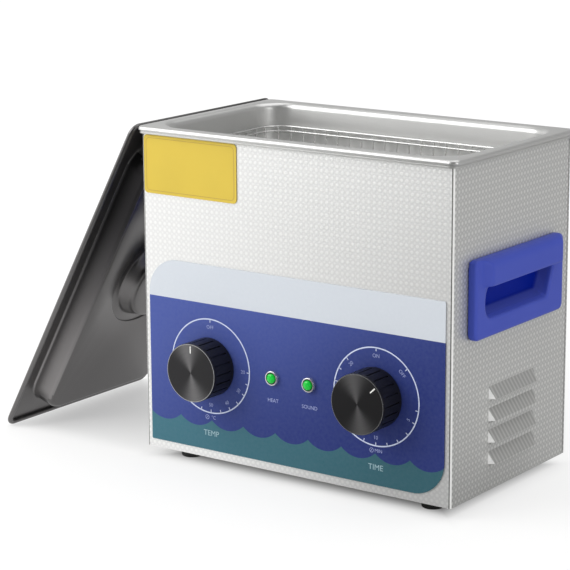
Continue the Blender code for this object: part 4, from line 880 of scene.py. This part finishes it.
def spunFace():
    # Turned rings on black metal, with two painted highlight sweeps from the centre
    recipe = newMaterial("spun face")
    x, y, z = recipe.axes()
    middle = sum(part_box("time_knob"), Vector()) / 2
    side = recipe.node("ShaderNodeMath", {"operation": "SIGN"}, {0: x})
    across, upward = x - side * middle.x, z - middle.z
    angle = recipe.node("ShaderNodeMath", {"operation": "ARCTAN2"}, {0: across, 1: upward})
    radius = (across * across + upward * upward) ** 0.5
    paintedSweepHighlight = abs(recipe.node("ShaderNodeMath", {"operation": "COSINE"}, {0: angle + 0.2})) ** 9
    turned = recipe.node("ShaderNodeCombineXYZ", values={0: radius, 1: angle * 0.0002})
    rings = recipe.noise(3000.0, 2, turned)
    # Painted highlight: two bright sectors where the turned rings would catch the lamps.
    tone = recipe.blend(paintedSweepHighlight, (0.035, 0.034, 0.036), (0.2, 0.196, 0.2))
    tone = recipe.blend(rings * 0.35, tone, (0.02, 0.02, 0.02))
    return recipe.surface(color=tone, metallic=0.8, roughness=0.36, normal=recipe.bump(rings, 0.2, 0.03 * mm))


finishes["spun face"] = spunFace()


def disc(name, x, z, front, back, radius, steps=96):
    # A round block lying on the y axis, in edit mode
    rest()
    bpy.ops.mesh.primitive_cylinder_add(vertices=steps, radius=radius, depth=back - front,
                                        location=(x, (front + back) / 2, z), rotation=(math.pi / 2, 0, 0))
    return begin(name)


def softenFront(item, offset, steps=3):
    frontY = min(v.co.y for v in bmesh.from_edit_mesh(item.data).verts)
    pick(item, lambda e: all(v.co.y < frontY + 1e-6 for v in e.verts), "EDGE")
    bpy.ops.mesh.bevel(affect="EDGES", offset=offset, segments=steps, profile=0.5)


def addKnob(kind):
    low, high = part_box(kind + "_knob")
    middle, length = (low + high) / 2, high.y - low.y
    radius = (high.x - low.x) / 2 + knob["grow"] * mm
    body = kind + "_dial"
    item = disc(kind + "_knob_body", middle.x, middle.z, low.y, high.y, radius, knob["panels"])
    for share in (knob["low"], knob["high"]):
        pickAll()
        bpy.ops.mesh.bisect(plane_co=(0, low.y + share * length, 0), plane_no=(0, 1, 0))
    each = knob["panels"] // knob["grooves"]

    def inGroove(face):
        place = face.calc_center_median() - middle
        turn = math.atan2(place.z, place.x) / (2 * math.pi) * knob["panels"]
        return abs(face.normal.y) < 0.5 and len(face.verts) == 4 and \
            knob["low"] < (place.y + length / 2) / length < knob["high"] and math.floor(turn) % each == 0
    pick(item, inGroove)
    bpy.ops.mesh.extrude_region_move()
    shrink = 1 - knob["groove"] * mm / radius
    bpy.ops.transform.resize(value=(shrink, 1, shrink), center_override=middle)
    softenFront(item, knob["chamfer"] * mm)
    complete(item, "black_metal", body, kind + "_knob", smooth=25)
    lift, faceLift, pointerLift = (height * mm for height in knob["layers"])
    rim = radius - knob["chamfer"] * mm * 0.4
    edge = flatRing(kind + "_knob_edge", middle.x, middle.z, low.y - lift, rim, knob["ring"] * mm,
                    knob["panels"])
    edit(edge)
    pickAll()
    depth = knob["ringDepth"] * mm
    bpy.ops.mesh.extrude_region_move(TRANSFORM_OT_translate={"value": (0, depth, 0)})
    complete(edge, "edge metal", body, smooth=30)
    face = disc(kind + "_knob_face", middle.x, middle.z, low.y - faceLift, low.y + depth,
                rim - knob["ring"] * mm, knob["panels"])
    complete(face, "spun face", body, smooth=30)
    turn = math.radians(knob["turns"][kind])
    reach = radius - knob["pointerInset"] * mm
    width, length = (size * mm for size in knob["pointer"])
    pointer = flatBar(kind + "_pointer", middle.x + reach * math.sin(turn), middle.z + reach * math.cos(turn),
                      low.y - pointerLift, length, width, turn)
    complete(pointer, "white_plastic", body, merge=1e-7, outward=False)


lamp = {"ring": 0.85, "edge": 0.35, "seat": 1.3, "seatLift": 0.25, "seatBack": 2.0, "depth": 14.0,
        "lens": 3.5, "lensBack": 1.2, "lensFront": 1.0, "facets": ((0.5, 0.6), (0.9, 0.4), (1.0, 0.2)),
        "steps": 64, "lensSteps": 16}


def addLamp(kind):
    low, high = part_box(kind + "_lamp_bezel")
    middle, radius = (low + high) / 2, (high.x - low.x) / 2
    surround = disc(kind + "_bezel", middle.x, middle.z, low.y, low.y + lamp["depth"] * mm, radius,
                    lamp["steps"])
    pick(surround, lambda f: f.normal.y < -0.9)
    bpy.ops.mesh.inset(thickness=lamp["ring"] * mm, depth=0)
    bpy.ops.mesh.inset(thickness=0, depth=-lamp["seat"] * mm)
    outside = radius - 0.1 * mm
    pick(surround, lambda e: all(v.co.y < low.y + 1e-6 and
                                 (v.co - middle).xz.length > outside for v in e.verts), "EDGE")
    bpy.ops.mesh.bevel(affect="EDGES", offset=lamp["edge"] * mm, segments=3, profile=0.5)
    complete(surround, "bright_metal", "cleaner", kind + "_lamp_bezel", smooth=30)
    seat = disc(kind + "_seat", middle.x, middle.z, low.y + (lamp["seat"] - lamp["seatLift"]) * mm,
                low.y + lamp["seatBack"] * mm, radius - (lamp["ring"] + 0.02) * mm, lamp["steps"])
    complete(seat, "black_plastic", "cleaner", smooth=30)
    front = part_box(kind + "_lamp_lens")[0].y + lamp["lensBack"] * mm
    lens = disc(kind + "_lens", middle.x, middle.z, front, low.y + lamp["lensFront"] * mm, lamp["lens"] * mm,
                lamp["lensSteps"])
    pick(lens, lambda f: f.normal.y < -0.9)
    walkIn(scaled(lamp["facets"]))
    complete(lens, "green_lens", "cleaner", kind + "_lamp_lens", smooth=12)


for kind in dials:
    addKnob(kind)
for kind in ("heat", "sound"):
    addLamp(kind)

print("handles, louvres and feet")

grip = {"wall": 130.15, "reach": 136.6, "corner": 5.0, "edge": 1.6, "rise": 1.7,
        "hood": 141.0, "hoodInset": (0.6, 0.4), "lip": 148.5, "ends": (15.0, 8.0), "hoodEdge": 6.0,
        "pocketLow": 123.5, "pocketHigh": 151.5, "pocketHalf": 46.0, "pocketCorner": 8.0, "pocketEnd": 13.0,
        "slope": 8.0, "cheek": 10.0, "back": 125.0, "tubOverrun": 2.0, "voxel": 0.9}


def handleBlue():
    recipe = newMaterial("handle blue")
    x = recipe.axes()[0]
    # Painted shade: the blue is darkened to navy deeper in the recess, nearer the wall.
    depth = 1 - recipe.smooth(abs(x), 124.5 * mm, 131.0 * mm)
    fine = recipe.noise(1600.0)
    tone = recipe.blend(depth, (0.05, 0.078, 0.44), (0.0, 0.008, 0.16))
    tone = recipe.blend(recipe.smooth(recipe.noise(30.0), 0.3, 0.8) * 0.2, tone, (0.035, 0.06, 0.38))
    return recipe.surface(color=tone, roughness=0.36 + fine * 0.1, specular=0.22,
                          normal=recipe.bump(fine, 0.2, 0.03 * mm))


def pocketShadeBlue():
    # Painted shade and light: the back of the grip's pocket is painted a deep shaded blue and its lit sloping
    # floor paler.
    recipe = newMaterial("pocket blue painted shade")
    x = recipe.axes()[0]
    near = recipe.smooth(abs(x), (grip["back"] + 0.4) * mm, (grip["back"] + 2.6) * mm)
    tone = recipe.blend(near, (0.0, 0.012, 0.27), (0.06, 0.085, 0.42))
    tone = recipe.blend(recipe.noise(60.0) * 0.15, tone, (0.02, 0.03, 0.3))
    return recipe.surface(color=tone, roughness=0.5, specular=0.05)


finishes["handle blue"] = handleBlue()
finishes["pocket blue painted shade"] = pocketShadeBlue()


def crosswise(edge):
    # True for an edge that runs from the wall outward
    return abs(edge.verts[0].co.x - edge.verts[1].co.x) > 1 * mm


def addHandle(kind):
    # A plate with a bulging hood over a deep pocket, made on the right and mirrored for the left
    low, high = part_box("carry_handle_right")
    low.z, high.z = low.z + grip["rise"] * mm, high.z + grip["rise"] * mm
    wall = grip["wall"] * mm
    item = boxBlock("handle_" + kind, (wall, low.y, low.z), (grip["reach"] * mm, high.y, high.z))
    pick(item, crosswise, "EDGE")
    bpy.ops.mesh.bevel(affect="EDGES", offset=grip["corner"] * mm, segments=6, profile=0.5)
    pick(item, lambda e: all(v.co.x > grip["reach"] * mm - 1e-6 for v in e.verts), "EDGE")
    bpy.ops.mesh.bevel(affect="EDGES", offset=grip["edge"] * mm, segments=3, profile=0.5)
    inY, inZ = (inset * mm for inset in grip["hoodInset"])
    hood = boxBlock("hood", (wall, low.y + inY, grip["lip"] * mm),
                    (grip["hood"] * mm, high.y - inY, high.z - inZ))
    front = (grip["hood"] - 1) * mm
    for side, ease in zip((-1, 1), grip["ends"]):
        pick(hood, lambda v: v.co.x > front and v.co.y * side > 0, "VERT")
        bpy.ops.transform.translate(value=(0, -side * ease * mm, 0))
    pick(hood, lambda e: all(v.co.x > front and v.co.z > grip["lip"] * mm + 1e-3 for v in e.verts), "EDGE")
    bpy.ops.mesh.bevel(affect="EDGES", offset=grip["hoodEdge"] * mm, segments=6, profile=0.5)
    carve(item, hood, "UNION")
    inner = [v.co for v in cad["carry_handle_right"].data.vertices if v.co.x < 129 * mm]
    tub = boxBlock("tub", [min(p[axis] for p in inner) for axis in range(3)],
                   (wall + grip["tubOverrun"] * mm, max(p.y for p in inner), max(p.z for p in inner)))
    carve(item, tub, "UNION")
    pocket = boxBlock("pocket", (grip["back"] * mm, -grip["pocketHalf"] * mm, grip["pocketLow"] * mm),
                      (grip["reach"] * mm + 3 * mm, grip["pocketHalf"] * mm, grip["pocketHigh"] * mm))
    middle = (grip["pocketLow"] + grip["pocketHigh"]) / 2 * mm
    pick(pocket, lambda v: v.co.x < wall and v.co.z < middle, "VERT")
    bpy.ops.transform.translate(value=(0, 0, grip["slope"] * mm))
    pick(pocket, lambda v: v.co.y > 0 and v.co.z < middle, "VERT")
    bpy.ops.transform.translate(value=(0, -grip["cheek"] * mm, 0))
    pick(pocket, lambda e: crosswise(e) and abs(e.verts[0].co.y - e.verts[1].co.y) < 1e-6 and
         (e.verts[0].co.y < 0) != (e.verts[0].co.z > middle), "EDGE")
    bpy.ops.mesh.bevel(affect="EDGES", offset=grip["pocketCorner"] * mm, segments=6, profile=0.5)
    pick(pocket, lambda e: crosswise(e) and all(v.co.z > (grip["pocketHigh"] - 1.5) * mm and v.co.y < -40 * mm
                                                for v in e.verts), "EDGE")
    bpy.ops.mesh.bevel(affect="EDGES", offset=grip["pocketEnd"] * mm, segments=8, profile=0.5)
    carve(item, pocket)
    edit(item)
    pickAll()
    bpy.ops.mesh.normals_make_consistent(inside=False)
    apply(item, "REMESH", mode="VOXEL", voxel_size=grip["voxel"] * mm)
    apply(item, "SMOOTH", factor=0.5, iterations=8)
    if kind == "left":
        edit(item)
        pickAll()
        bpy.ops.transform.resize(value=(-1, 1, 1), center_override=(0, 0, 0))
    complete(item, ("handle blue", "pocket blue painted shade"), "cleaner", "carry_handle_" + kind, smooth=50)
    # The pocket's faces take the painted-shade blue.
    for face in item.data.polygons:
        spot = face.center / mm
        across = grip["back"] - 0.4 < abs(spot.x) < 132.5 and abs(spot.y) < grip["pocketHalf"] + 0.4
        face.material_index = int(across and grip["pocketLow"] - 1 < spot.z < grip["pocketHigh"] + 0.5)


louvre = {"lows": (20.5, 35.8, 51.1, 66.4), "wall": 130.0, "height": 8.6, "half": 30.5, "cheek": 2.6,
          "reach": 4.8, "lift": 0.05, "sheet": 0.7, "hollow": (-1.2, 3.0), "edge": 0.5,
          "stripe": (4.26, 30.0)}


def louvreSteel():
    # The embossing drawn out into upright stripes over the louvre hoods
    recipe = newMaterial("louvre steel")
    x, y, z = recipe.axes()
    pitch, lean = louvre["stripe"]
    stripe = abs((y / (pitch * mm) + z / (lean * mm)) % 1 - 0.5) * 2
    grain = recipe.noise(900.0, stretch=(1, 1, 0.08))
    tone = recipe.blend(recipe.smooth(stripe, 0.2, 0.9), (0.44, 0.44, 0.43), (0.62, 0.62, 0.605))
    tone = recipe.blend(grain * 0.2, tone, (0.4, 0.4, 0.4))
    return recipe.surface(color=tone, metallic=0.6, roughness=0.42 + grain * 0.08,
                          normal=recipe.bump(stripe, 0.25, 0.2 * mm))


finishes["louvre steel"] = louvreSteel()


def addLouvres(side):
    # Pressed hoods that open downward
    hoods = []
    wall, reach, half = (louvre[name] * mm for name in ("wall", "reach", "half"))
    back, up = (length * mm for length in louvre["hollow"])
    for base in louvre["lows"]:
        item = boxBlock("louvre", (wall, -half, base * mm),
                        (wall + reach, half, (base + louvre["height"]) * mm))
        pick(item, lambda v: v.co.x > wall + 1 * mm and v.co.z > (base + louvre["height"] / 2) * mm, "VERT")
        bpy.ops.transform.translate(value=(louvre["lift"] * mm - reach, 0, 0))
        pick(item, lambda v: v.co.x > wall + 1 * mm, "VERT")
        bpy.ops.transform.resize(value=(1, 1 - louvre["cheek"] / louvre["half"], 1),
                                 center_override=(0, 0, 0))
        pick(item, lambda f: f.normal.z < -0.9)
        bpy.ops.mesh.inset(thickness=louvre["sheet"] * mm, depth=0)
        bpy.ops.mesh.extrude_region_move(TRANSFORM_OT_translate={"value": (back, 0, up)})
        pick(item, lambda e: all(v.co.x > wall + reach - 1e-6 for v in e.verts), "EDGE")
        bpy.ops.mesh.bevel(affect="EDGES", offset=louvre["edge"] * mm, segments=3, profile=0.5)
        if side < 0:
            pickAll()
            bpy.ops.transform.resize(value=(-1, 1, 1), center_override=(0, 0, 0))
        hoods.append(item)
    item = joinAll("louvres_left" if side < 0 else "louvres_right", hoods)
    complete(item, ("louvre steel", "louvre cheek highlight"), "cleaner", smooth=30)
    # The cheek faces take the painted-highlight steel.
    for face in item.data.polygons:
        face.material_index = int(abs(face.normal.y) > 0.7 and
                                  abs(face.center.y) > (louvre["half"] - louvre["cheek"]) * mm)


foot = {"taper": 0.86, "edge": 1.0}


def addFoot(name):
    low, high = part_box(name)
    rest()
    bpy.ops.mesh.primitive_cylinder_add(vertices=64, radius=(high.x - low.x) / 2, depth=high.z - low.z,
                                        location=(low + high) / 2)
    item = begin(name + "_turned")
    pick(item, lambda v: v.co.z < (low.z + high.z) / 2, "VERT")
    bpy.ops.transform.resize(value=(foot["taper"], foot["taper"], 1), center_override=(low + high) / 2)
    pick(item, lambda e: all(v.co.z < low.z + 1e-6 for v in e.verts), "EDGE")
    bpy.ops.mesh.bevel(affect="EDGES", offset=foot["edge"] * mm, segments=4, profile=0.5)
    complete(item, "rubber", "cleaner", name, smooth=35)


for kind in ("right", "left"):
    addHandle(kind)
for side in (1, -1):
    addLouvres(side)
for name in ("foot_front_left", "foot_front_right", "foot_rear_left", "foot_rear_right"):
    addFoot(name)

print("basket")

basket = {"half": (117.3, 64.8), "taper": 7.0, "corner": 18.0, "top": 220.4, "foot": 140.7, "thick": 0.8,
          "thin": 0.65, "uprights": 66, "rings": (217.0, 204.0, 191.0, 178.0, 165.0, 152.0), "floor": 138.5,
          "net": (24, 13), "sides": 8}


def around(share, halfX, halfY, corner):
    # A point on a rounded rectangle, by its share of the way round
    straightX, straightY, bend = 2 * (halfX - corner), 2 * (halfY - corner), corner * math.pi / 2
    travel = (share % 1) * 2 * (straightX + straightY + 2 * bend)
    spots = ((halfX, 0, straightY, 90), (0, halfY, straightX, 180),
             (-halfX, 0, straightY, 270), (0, -halfY, straightX, 360))
    for x, y, straight, heading in spots:
        way = Vector((math.cos(math.radians(heading)), math.sin(math.radians(heading))))
        out = Vector((way.y, -way.x))
        if travel <= straight:
            return Vector((x, y)) + way * (travel - straight / 2)
        travel -= straight
        if travel <= bend:
            center = Vector((x, y)) + way * straight / 2 - out * corner
            turn = travel / corner
            return center + out * corner * math.cos(turn) + way * corner * math.sin(turn)
        travel -= bend


def wire(name, ends, radius):
    # A straight wire between two places in mm
    first, last = Vector(ends[0]) * mm, Vector(ends[1]) * mm
    rest()
    bpy.ops.mesh.primitive_cylinder_add(vertices=basket["sides"], radius=radius * mm,
                                        depth=(last - first).length, location=(first + last) / 2,
                                        rotation=(last - first).to_track_quat("Z", "Y").to_euler())
    item = bpy.context.object
    item.name = name
    return item


def loopWire(name, halfX, halfY, corner, z, radius):
    item = roundedPlate(name, halfX * mm, halfY * mm, corner * mm, z * mm, 8)
    bpy.ops.mesh.delete(type="ONLY_FACE")
    rest()
    item.select_set(True)
    bpy.context.view_layer.objects.active = item
    bpy.ops.object.convert(target="CURVE")
    item = bpy.context.object
    item.data.bevel_depth = radius * mm
    item.data.bevel_resolution = 2
    bpy.ops.object.convert(target="MESH")
    return bpy.context.object


def basketSize(z):
    # Half sizes and corner at a height
    drop = basket["taper"] * (basket["top"] - z) / (basket["top"] - basket["foot"])
    return basket["half"][0] - drop, basket["half"][1] - drop, basket["corner"] - drop * 0.5


def addBasket():
    wires = [loopWire("ring", *basketSize(basket["top"]), basket["top"], basket["thick"]),
             loopWire("ring", *basketSize(basket["foot"]), basket["foot"], basket["thick"])]
    for z in basket["rings"]:
        halfX, halfY, corner = basketSize(z)
        wires.append(loopWire("ring", halfX - basket["thin"], halfY - basket["thin"], corner, z,
                              basket["thin"]))
    count = basket["uprights"]
    for index in range(count):
        high = around((index + 0.5) / count, *basketSize(basket["top"]))
        low = around((index + 0.5) / count, *basketSize(basket["foot"]))
        wires.append(wire("upright", ((*high, basket["top"]), (*low, basket["foot"])), basket["thin"]))
    halfX, halfY, corner = basketSize(basket["foot"])
    across, along = basket["net"]
    for index in range(across):
        x = halfX * (2 * (index + 0.5) / across - 1)
        end = halfY - max(0.0, abs(x) - halfX + corner) * 0.5
        wires.append(wire("net", ((x, -end, basket["floor"]), (x, end, basket["floor"])), basket["thin"]))
    for index in range(along):
        y = halfY * (2 * (index + 0.5) / along - 1)
        end = halfX - max(0.0, abs(y) - halfY + corner) * 0.5
        wires.append(wire("net", ((-end, y, basket["floor"] + 1.3), (end, y, basket["floor"] + 1.3)),
                          basket["thin"]))
    complete(joinAll("basket_wires", wires), "wire_steel", "basket", "basket_front", "basket_rear",
             "basket_end_left", "basket_end_right", "basket_floor", smooth=50, outward=False)


addBasket()
